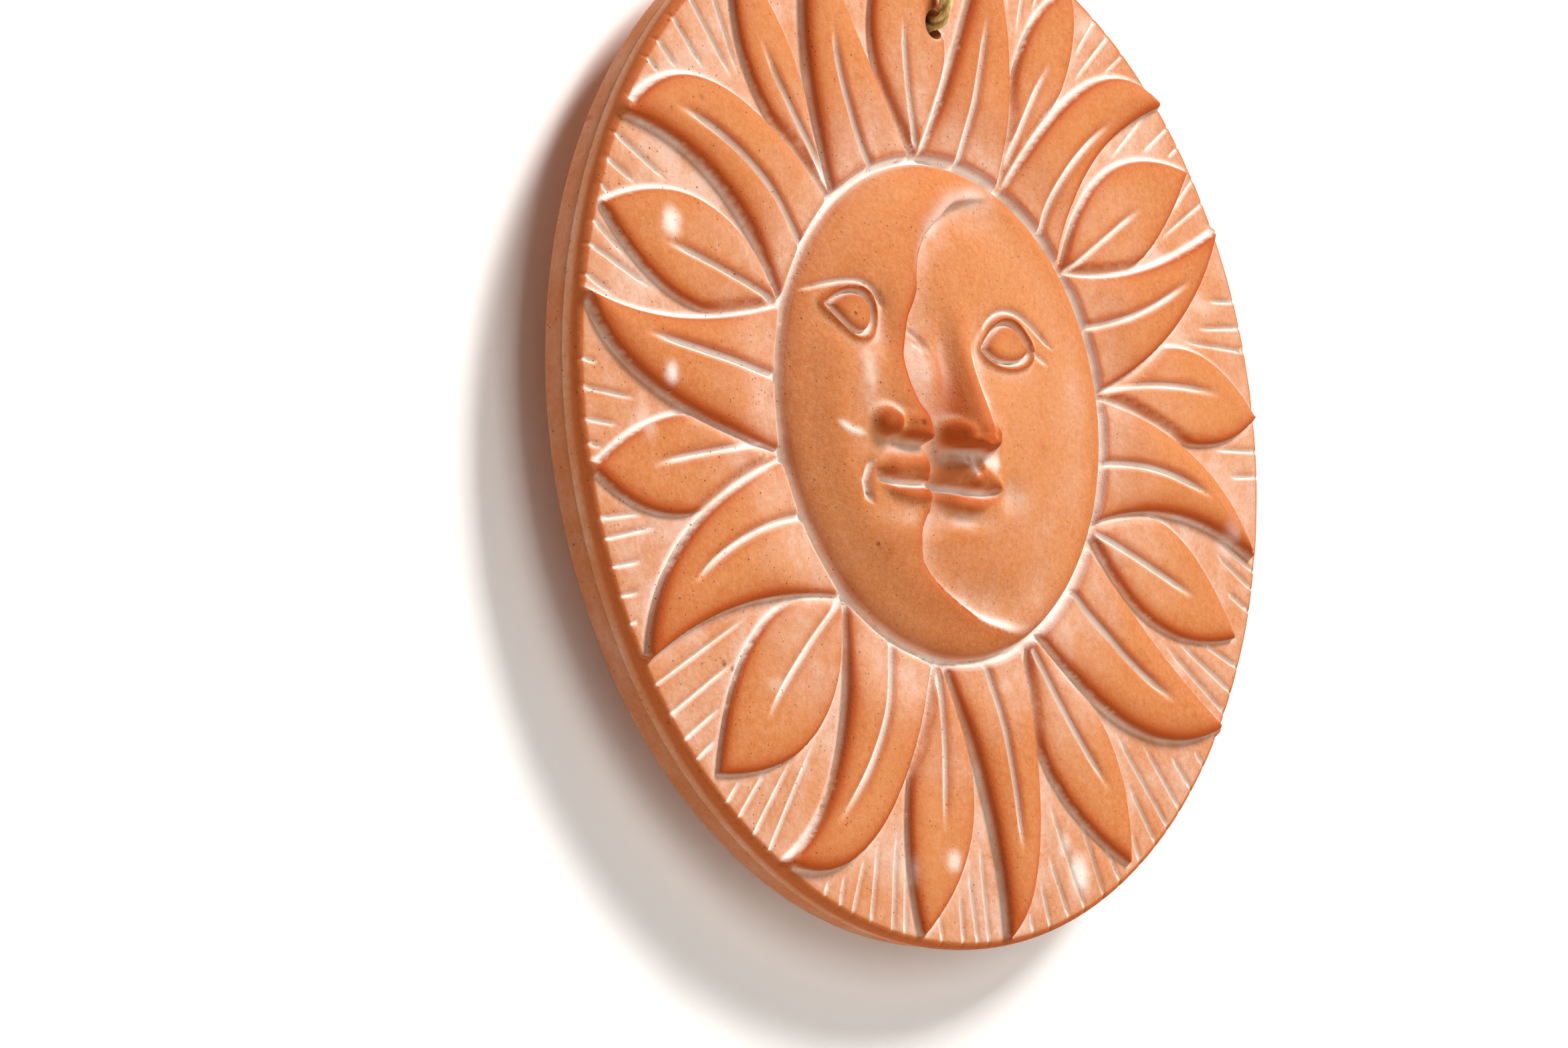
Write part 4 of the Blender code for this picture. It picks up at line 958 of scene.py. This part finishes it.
# Bare clay colour, mostly painted shade on walls turned from the lamp, the rim's rounding and the sun nose's
# shaded side.
bare_and_shaded = put(tree, "ShaderNodeAttribute", attribute_name="bare_and_shaded").outputs["Fac"]
clay_colour = blend_colours(tree, bare_and_shaded, clay_colour, BARE_CLAY_AND_SHADE)
thin_wash = maths(tree, "MULTIPLY", thin_wash, spread(tree, bare_and_shaded, 0.0, 1.0, 1.0, 0.25))
mottle = noise(tree, at, 150.0, 4.0, 0.65)
veil = maths(tree, "MULTIPLY", thin_wash, spread(tree, cloud, 0.3, 0.68, 0.3, 1.35))
veil = maths(tree, "MULTIPLY", veil, spread(tree, mottle, 0.3, 0.7, 0.6, 1.3))
veil = maths(tree, "MULTIPLY", veil, spread(tree, grain, 0.2, 0.7, 0.75, 1.1))
veil = put(tree, "ShaderNodeClamp", {"Value": veil, "Max": 0.85}).outputs[0]
colour = blend_colours(tree, veil, clay_colour, THIN_WASH)
line = maths(tree, "MULTIPLY", dense_wash, spread(tree, cloud, 0.25, 0.6, 0.7, 1.1))
line = put(tree, "ShaderNodeClamp", {"Value": line, "Max": 0.95}).outputs[0]
colour = blend_colours(tree, line, colour, DENSE_WASH)
pits_and_hole_shade = 0.0
for scale, size, rarity in ((420.0, 0.11, 0.90), (900.0, 0.17, 0.80)):
    cells = put(tree, "ShaderNodeTexVoronoi", {"Vector": at, "Scale": scale}, feature="F1")
    dot = spread(tree, cells.outputs["Distance"], 0.6 * size, size, 1.0, 0.0)
    chosen = put(tree, "ShaderNodeSeparateColor", {"Color": cells.outputs["Color"]}).outputs[0]
    dot = maths(tree, "MULTIPLY", dot, maths(tree, "GREATER_THAN", chosen, rarity))
    pits_and_hole_shade = maths(tree, "MAXIMUM", pits_and_hole_shade, dot)
across = put(tree, "ShaderNodeSeparateXYZ", {"Vector": at}).outputs["X"]
pits_and_hole_shade = maths(tree, "MULTIPLY", pits_and_hole_shade, spread(tree, across, -0.08, 0.06, 1.0, 0.35))
# Stains and the painted shade in the hole join the pits and darken the clay.
stain_and_hole_shade = put(tree, "ShaderNodeAttribute", attribute_name="stain_and_hole_shade").outputs["Fac"]
pits_and_hole_shade = maths(tree, "MAXIMUM", pits_and_hole_shade, stain_and_hole_shade)
colour = blend_colours(tree, maths(tree, "MULTIPLY", pits_and_hole_shade, 0.7), colour, PIT_AND_SHADE_DARK)
tree.links.new(colour, shader.inputs["Base Color"])
tree.links.new(spread(tree, veil, 0.0, 1.0, 0.78, 0.95), shader.inputs["Roughness"])
shader.inputs["Specular IOR Level"].default_value = 0.25
bumps = maths(tree, "ADD", maths(tree, "MULTIPLY", grain, 0.35), maths(tree, "MULTIPLY", speck, 0.2))
bumps = maths(tree, "SUBTRACT", bumps, maths(tree, "MULTIPLY", pits_and_hole_shade, 0.8))
bump = put(tree, "ShaderNodeBump", {"Height": bumps, "Strength": 0.9, "Distance": 0.0005})
tree.links.new(bump.outputs[0], shader.inputs["Normal"])
plaque_mesh.materials.clear()
plaque_mesh.materials.append(clay)
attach(plaque, "root")
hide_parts("sun_moon_plaque")


# Twine: one length of three-ply jute that the plaque hangs by, down its front, through the hole and up the
# gouge. Its two ends meet above in one overhand knot and stop in short frayed tails.
TWINE_DIAMETER = 0.0036
TWINE_GAP = 0.0003
LOOP_RISE = 0.041
KNOT_SCALE = 0.0027
KNOT_DEPTH = 1.3
KNOT_LEAD = 0.004
TAIL_LENGTH = 0.011
TAIL_TUCK = 0.0045
PLIES = 3
LAY_LENGTH = 0.0125
RING_PITCH = 0.0003
SIDES = 48
FIBRE_RADIUS = 0.00004
FIBRE_BENDS = 6
HAIR_REACH = (0.0012, 0.0042)
TUFT_REACH = (0.002, 0.0045)
TUFT_HAIRS = 110
WALL_CLEARANCE = 0.0002
STRAIGHT_RUN = 0.006
RIM_CLEARANCE = 0.002
twine_radius = TWINE_DIAMETER / 2
bend_radius = 2.1 * twine_radius
through = HOLE_PLACE[1] * METRES + 0.1 * twine_radius
front_y = -((FIELD_DEPTH + LEAF_HEIGHT) * METRES + 2 * TWINE_GAP + twine_radius)
back_y = -GROOVE_DEPTH * METRES / 2
loop_base = PLAQUE_RADIUS + LOOP_RISE
knot_y = -0.0090
rim_z = PLAQUE_RADIUS


def arc(centre_y, centre_z, radius, first, last, steps):
    """Points on an arc in the plane that cuts the plaque from front to back."""
    angles = np.radians(np.linspace(first, last, steps))
    return [(0.0, centre_y + radius * math.cos(a), centre_z + radius * math.sin(a)) for a in angles]


def evenly(path, count):
    """The path with so many points at even distances."""
    path = np.asarray(path, float)
    length = np.r_[0, np.cumsum(np.linalg.norm(np.diff(path, axis=0), axis=1))]
    at = np.linspace(0, length[-1], count)
    return np.stack([np.interp(at, length, path[:, k]) for k in range(3)], axis=1)


def path_length(path):
    return float(np.linalg.norm(np.diff(path, axis=0), axis=1).sum())


def overhand(t):
    """Point of the overhand turn about its own centre, t in degrees from 200 to 520."""
    t = math.radians(t)
    return (KNOT_SCALE * (math.sin(t) + 2 * math.sin(2 * t)), -KNOT_DEPTH * KNOT_SCALE * math.sin(3 * t),
            KNOT_SCALE * (math.cos(t) - 2 * math.cos(2 * t)))


def laid_strand(name, path, seed):
    """A closed length of twisted twine, with its line, its rings of points and their outward directions."""
    line = smooth_line(path, 8)
    line = evenly(line, int(round(path_length(line) / RING_PITCH)) + 1)
    along = np.linspace(0, path_length(line), len(line))[:, None]
    run = np.gradient(line, axis=0)
    run /= np.linalg.norm(run, axis=1)[:, None]
    normal = np.array((1.0, 0.0, 0.0))
    normals = []
    for direction in run:
        normal = normal - direction * (normal @ direction)
        normal /= np.linalg.norm(normal)
        normals.append(normal)
    normals = np.array(normals)
    sideways = np.cross(run, normals)
    around = np.linspace(0, 2 * np.pi, SIDES, endpoint=False)[None, :]
    turned = around - 2 * np.pi * along / LAY_LENGTH
    from_ply = (turned + np.pi / PLIES) % (2 * np.pi / PLIES) - np.pi / PLIES
    ply = 0.464 * twine_radius
    offset = twine_radius - ply
    lobe = offset * np.cos(from_ply) + np.sqrt(np.maximum(0, ply ** 2 - (offset * np.sin(from_ply)) ** 2))
    lobe = np.maximum(lobe, 0.62 * twine_radius)
    valley = 1 - ramp((lobe / twine_radius - 0.60) / 0.32)
    chance = np.random.default_rng(seed)
    fibres = np.zeros(lobe.shape)
    for waves in (5, 8, 11, 14):
        first, second, start = chance.uniform(0, 2 * np.pi, 3)
        swing = 2.4 * np.sin(along / 0.0016 + first) + 1.6 * np.sin(along / 0.0007 + second)
        fibres += np.cos(waves * around + start + swing)
    thin_and_thick = 0.975 + 0.025 * np.sin(along / 0.0027 + chance.uniform(0, 6)) * np.sin(along / 0.0011)
    radius = lobe * thin_and_thick + 0.013 * twine_radius * (fibres - 2.5)
    out = np.cos(around)[..., None] * normals[:, None] + np.sin(around)[..., None] * sideways[:, None]
    rings = line[:, None] + radius[..., None] * out
    count = len(line)
    index = np.arange(count * SIDES).reshape(count, SIDES)
    near, far = index[:-1], index[1:]
    quads = np.stack([near, np.roll(near, -1, axis=1), np.roll(far, -1, axis=1), far], axis=-1)
    faces = quads.reshape(-1, 4).tolist() + [index[0][::-1].tolist(), index[-1].tolist()]
    data = bpy.data.meshes.new(name)
    data.from_pydata(rings.reshape(-1, 3).tolist(), [], faces)
    fibre_place = np.zeros(rings.shape)
    fibre_place[..., 0] = around * twine_radius * 1000 + seed
    fibre_place[..., 1] = along * 1000
    place = data.attributes.new("fibre_place", "FLOAT_VECTOR", "POINT")
    place.data.foreach_set("vector", fibre_place.astype(np.float32).ravel())
    shade = data.attributes.new("valley", "FLOAT", "POINT")
    shade.data.foreach_set("value", valley.astype(np.float32).ravel())
    data.shade_smooth()
    data.materials.append(jute)
    item = bpy.data.objects.new(name, data)
    bpy.context.scene.collection.objects.link(item)
    return item, line, rings, out


def loose_fibres(name, starts, ways, curls, seed):
    """Thin bent hairs, each from its start along its way and curling off it, in one mesh."""
    chance = np.random.default_rng(seed)
    verts = []
    faces = []
    spots = []
    for number, (start, way, curl) in enumerate(zip(starts, ways, curls)):
        side = np.cross(way, (0.3, 0.5, 0.8))
        side /= np.linalg.norm(side)
        other = np.cross(way, side)
        other /= np.linalg.norm(other)
        tone = chance.uniform(0, 60)
        for i in range(FIBRE_BENDS + 1):
            t = i / FIBRE_BENDS
            middle = start + way * t + curl * t * t
            thick = FIBRE_RADIUS * (1.0 - 0.75 * t)
            base = len(verts)
            for angle in (0.0, 2.1, 4.2):
                verts.append(middle + thick * (math.cos(angle) * side + math.sin(angle) * other))
                spots.append((tone, 3 * t + number, 0))
            if i:
                for k in range(3):
                    n = (k + 1) % 3
                    faces.append((base - 3 + k, base - 3 + n, base + n, base + k))
        first = base - 3 * FIBRE_BENDS
        faces += [(base, base + 1, base + 2), (first + 2, first + 1, first)]
    data = bpy.data.meshes.new(name)
    data.from_pydata(verts, [], faces)
    place = data.attributes.new("fibre_place", "FLOAT_VECTOR", "POINT")
    place.data.foreach_set("vector", np.array(spots, np.float32).ravel())
    data.materials.append(jute)
    item = bpy.data.objects.new(name, data)
    bpy.context.scene.collection.objects.link(item)
    return item


STRAW_DEEP = srgb(196, 154, 88)
STRAW_PALE = srgb(246, 222, 156)
STRAW_PATCH = srgb(210, 162, 88)
STRAW_SHADE = srgb(110, 76, 36)

jute = bpy.data.materials.new("jute_fibre")
jute.use_nodes = True
tree = jute.node_tree
shader = tree.nodes["Principled BSDF"]
fibre_place = put(tree, "ShaderNodeAttribute", attribute_name="fibre_place").outputs["Vector"]
valley = put(tree, "ShaderNodeAttribute", attribute_name="valley").outputs["Fac"]
stretched = put(tree, "ShaderNodeMapping", {"Vector": fibre_place, "Scale": (2.4, 0.35, 1.0)}).outputs[0]
streak = noise(tree, stretched, 2.2, 5.0, 0.7)
broad_at = put(tree, "ShaderNodeMapping", {"Vector": fibre_place, "Scale": (0.5, 0.25, 1.0)}).outputs[0]
patch = noise(tree, broad_at, 1.0, 2.0, 0.5)
colour = blend_colours(tree, spread(tree, streak, 0.35, 0.68), STRAW_DEEP, STRAW_PALE)
colour = blend_colours(tree, spread(tree, patch, 0.45, 0.75, 0.0, 0.4), colour, STRAW_PATCH)
colour = blend_colours(tree, maths(tree, "MULTIPLY", valley, 0.55), colour, STRAW_SHADE)
tree.links.new(colour, shader.inputs["Base Color"])
tree.links.new(spread(tree, streak, 0.2, 0.8, 0.95, 0.75), shader.inputs["Roughness"])
shader.inputs["Specular IOR Level"].default_value = 0.3
bump = put(tree, "ShaderNodeBump", {"Height": streak, "Strength": 0.7, "Distance": 0.00012})
tree.links.new(bump.outputs[0], shader.inputs["Normal"])

turn_width, half_depth, drop = overhand(200)
front_bend = arc(front_y + bend_radius, through + bend_radius, bend_radius, 180, 270, 7)
back_bend = arc(back_y - bend_radius, through + bend_radius, bend_radius, 270, 360, 7)
front_top = knot_y - half_depth
back_top = knot_y + half_depth
front_run = smooth_line([
    (-turn_width, front_top, loop_base), (-turn_width, front_top, loop_base - 0.005),
    (-0.5 * turn_width, front_y + 0.0012, rim_z + 0.014), (0, front_y, rim_z - RIM_CLEARANCE),
    (0, front_y, through + bend_radius + STRAIGHT_RUN), front_bend[0]], 6)
back_run = smooth_line([
    back_bend[-1], (0, back_y, through + bend_radius + STRAIGHT_RUN), (0, back_y, rim_z - RIM_CLEARANCE),
    (0.5 * turn_width, back_y - 0.0012, rim_z + 0.014), (turn_width, back_top, loop_base - 0.005),
    (turn_width, back_top, loop_base)], 6)
twine_path = np.vstack([evenly(front_run, 15)[:-1], front_bend, back_bend, evenly(back_run, 15)[1:]])
lead = loop_base + TWINE_GAP
knot_z = lead + KNOT_LEAD - drop
turns = [(x, knot_y + y, knot_z + z) for x, y, z in (overhand(520 - 320 * i / 30) for i in range(31))]
turns = [(-turn_width, front_top, lead), (-turn_width, front_top, lead + 0.4 * KNOT_LEAD)] + turns
turns = turns + [(turn_width, back_top, lead + 0.4 * KNOT_LEAD), (turn_width, back_top, lead)]
tails = []
for side in (-1, 1):
    low = np.array((side * 0.8 * KNOT_SCALE, knot_y, knot_z + 2.9 * KNOT_SCALE))
    way = np.array((side * 0.35, -0.25, 1.0))
    way = way / np.linalg.norm(way)
    high = low + way * TAIL_LENGTH
    low = low - way * TAIL_TUCK
    tails.append([low + (high - low) * i / 3 for i in range(4)])

twine, twine_line, twine_rings, twine_out = laid_strand("twine", twine_path, 1)
knot, _, knot_rings, knot_out = laid_strand("knot", turns, 2)
tail_left, _, left_rings, left_out = laid_strand("tail_left", tails[0], 3)
tail_right, _, right_rings, right_out = laid_strand("tail_right", tails[1], 4)

# Hairs that stand off the strands, none of them into the clay or the wall, then the tufts at the tails' ends
chance = np.random.default_rng(11)
starts = []
ways = []
curls = []
for rings, out, number in ((twine_rings, twine_out, 430), (knot_rings, knot_out, 170),
                           (left_rings, left_out, 40), (right_rings, right_out, 40)):
    for _ in range(number):
        i = int(chance.integers(1, len(rings) - 1))
        j = int(chance.integers(0, SIDES))
        start = rings[i, j] - 0.0001 * out[i, j]
        run = rings[i + 1, j] - rings[i - 1, j]
        run *= chance.choice((-1, 1)) / np.linalg.norm(run)
        reach = chance.uniform(*HAIR_REACH)
        way = run * chance.uniform(0.4, 1.0) + out[i, j] * chance.uniform(0.15, 0.8)
        by_clay = start[2] < rim_z + RIM_CLEARANCE
        if by_clay and start[1] > front_y + 0.6 * twine_radius:
            continue
        way += chance.normal(0, 0.15, 3)
        way = way / np.linalg.norm(way) * reach
        curl = out[i, j] * chance.normal(0, 0.5) * reach + chance.normal(0, 0.3, 3) * reach
        if by_clay:
            way[1] = -abs(way[1])
            curl[1] = -abs(curl[1]) * 0.5
        furthest = start[1] + max(way[1] + curl[1], 0.5 * way[1] + 0.25 * curl[1])
        if furthest > -WALL_CLEARANCE:
            continue
        starts.append(start)
        ways.append(way)
        curls.append(curl)
for tail, rings in ((tails[0], left_rings), (tails[1], right_rings)):
    way = (tail[-1] - tail[0]) / np.linalg.norm(tail[-1] - tail[0])
    for _ in range(TUFT_HAIRS):
        share = math.sqrt(chance.uniform(0, 1))
        j = int(chance.integers(0, SIDES))
        aside = rings[-1, j] - tail[-1]
        starts.append(tail[-1] + share * aside - 0.0006 * way)
        fan = way + 0.35 * share * aside / twine_radius + chance.normal(0, 0.10, 3)
        ways.append(fan * chance.uniform(*TUFT_REACH))
        curls.append(chance.normal(0, 0.0006, 3))
hairs = loose_fibres("loose_fibres", starts, ways, curls, 12)

for piece, node in ((twine, "hanging_twine"), (knot, "twine_knot"), (tail_left, "twine_tail_left"),
                    (tail_right, "twine_tail_right")):
    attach(piece, "root")
    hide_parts(node)
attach(hairs, "root")


# Camera, at the photograph's place: a long lens from the left and a little below, looking along the wall.
# Its place is given in half widths of the plaque: back from the plaque's middle, to the side and downward.
CAMERA_UNIT = 0.115
CAMERA_BACK = 10.2513
CAMERA_ASIDE = 0.2345
CAMERA_DOWN = 0.1888
turn, lift, roll = -0.8516, -0.1309, -0.0303
back = Vector((math.sin(turn) * math.cos(lift), -math.cos(turn) * math.cos(lift), math.sin(lift)))
level_right = Vector((0, 0, 1)).cross(back).normalized()
level_up = back.cross(level_right)
right = math.cos(roll) * level_right + math.sin(roll) * level_up
up = -math.sin(roll) * level_right + math.cos(roll) * level_up
camera_data = bpy.data.cameras.new("camera")
camera_data.lens = 122.8
camera_data.sensor_width = 36.0
camera_data.clip_start = 0.05
camera = bpy.data.objects.new("camera", camera_data)
place = (back * CAMERA_BACK - right * CAMERA_ASIDE - up * CAMERA_DOWN) * CAMERA_UNIT
camera.matrix_world = Matrix.Translation(place) @ Matrix((right, up, back)).transposed().to_4x4()
bpy.context.scene.collection.objects.link(camera)
bpy.context.scene.camera = camera


# Studio: a white board close behind the plaque, clear when seen from behind, and a pale floor below.
# Two soft lamps light the front, the stronger from the upper right, and a weak one lights the back.
BOARD_GAP = 0.010
FLOOR_LEVEL = -0.9


def plane(name, half_x, half_y, centre, rotation, skin):
    data = bpy.data.meshes.new(name)
    corners = [(-half_x, -half_y, 0), (half_x, -half_y, 0), (half_x, half_y, 0), (-half_x, half_y, 0)]
    data.from_pydata(corners, [], [(0, 1, 2, 3)])
    data.materials.append(skin)
    item = bpy.data.objects.new(name, data)
    item.location = centre
    item.rotation_euler = rotation
    bpy.context.scene.collection.objects.link(item)
    return item


def lamp(name, direction, distance, size, power, colour):
    data = bpy.data.lights.new(name, "AREA")
    data.shape = "SQUARE"
    data.size = size
    data.energy = power
    data.color = colour
    item = bpy.data.objects.new(name, data)
    item.location = Vector(direction).normalized() * distance
    item.rotation_mode = "QUATERNION"
    item.rotation_quaternion = Vector(direction).to_track_quat("Z", "Y")
    bpy.context.scene.collection.objects.link(item)


board_paint = bpy.data.materials.new("white_board")
board_paint.use_nodes = True
tree = board_paint.node_tree
shader = tree.nodes["Principled BSDF"]
shader.inputs["Base Color"].default_value = srgb(250, 250, 250)
shader.inputs["Roughness"].default_value = 0.9
clear = put(tree, "ShaderNodeBsdfTransparent")
behind = put(tree, "ShaderNodeNewGeometry").outputs["Backfacing"]
choice = put(tree, "ShaderNodeMixShader", {0: behind, 1: shader.outputs[0], 2: clear.outputs[0]})
tree.links.new(choice.outputs[0], tree.nodes["Material Output"].inputs["Surface"])
floor_paint = bpy.data.materials.new("pale_floor")
floor_paint.use_nodes = True
floor_shader = floor_paint.node_tree.nodes["Principled BSDF"]
floor_shader.inputs["Base Color"].default_value = srgb(208, 205, 200)
floor_shader.inputs["Roughness"].default_value = 0.8
board = plane("board", 2.0, 1.6, (0, BOARD_GAP, 0.9), (math.radians(90), 0, 0), board_paint)
board.visible_shadow = False
plane("floor", 3.0, 3.0, (0, 0, FLOOR_LEVEL), (0, 0, 0), floor_paint)
lamp("window", (-0.10, -0.95, 0.10), 3.0, 1.6, 26, (1.0, 0.98, 0.95))
lamp("low_window", (0.38, -0.60, 0.70), 3.0, 1.0, 130, (1.0, 0.98, 0.95))
lamp("behind", (0, 1, 0.15), 2.2, 0.5, 5, (1.0, 1.0, 1.0))
world = bpy.data.worlds.new("room")
world.use_nodes = True
world.node_tree.nodes["Background"].inputs["Color"].default_value = (1.0, 0.98, 0.96, 1)
world.node_tree.nodes["Background"].inputs["Strength"].default_value = 0.05
bpy.context.scene.world = world
bpy.context.scene.view_settings.view_transform = "Standard"
bpy.context.scene.view_settings.gamma = 0.92
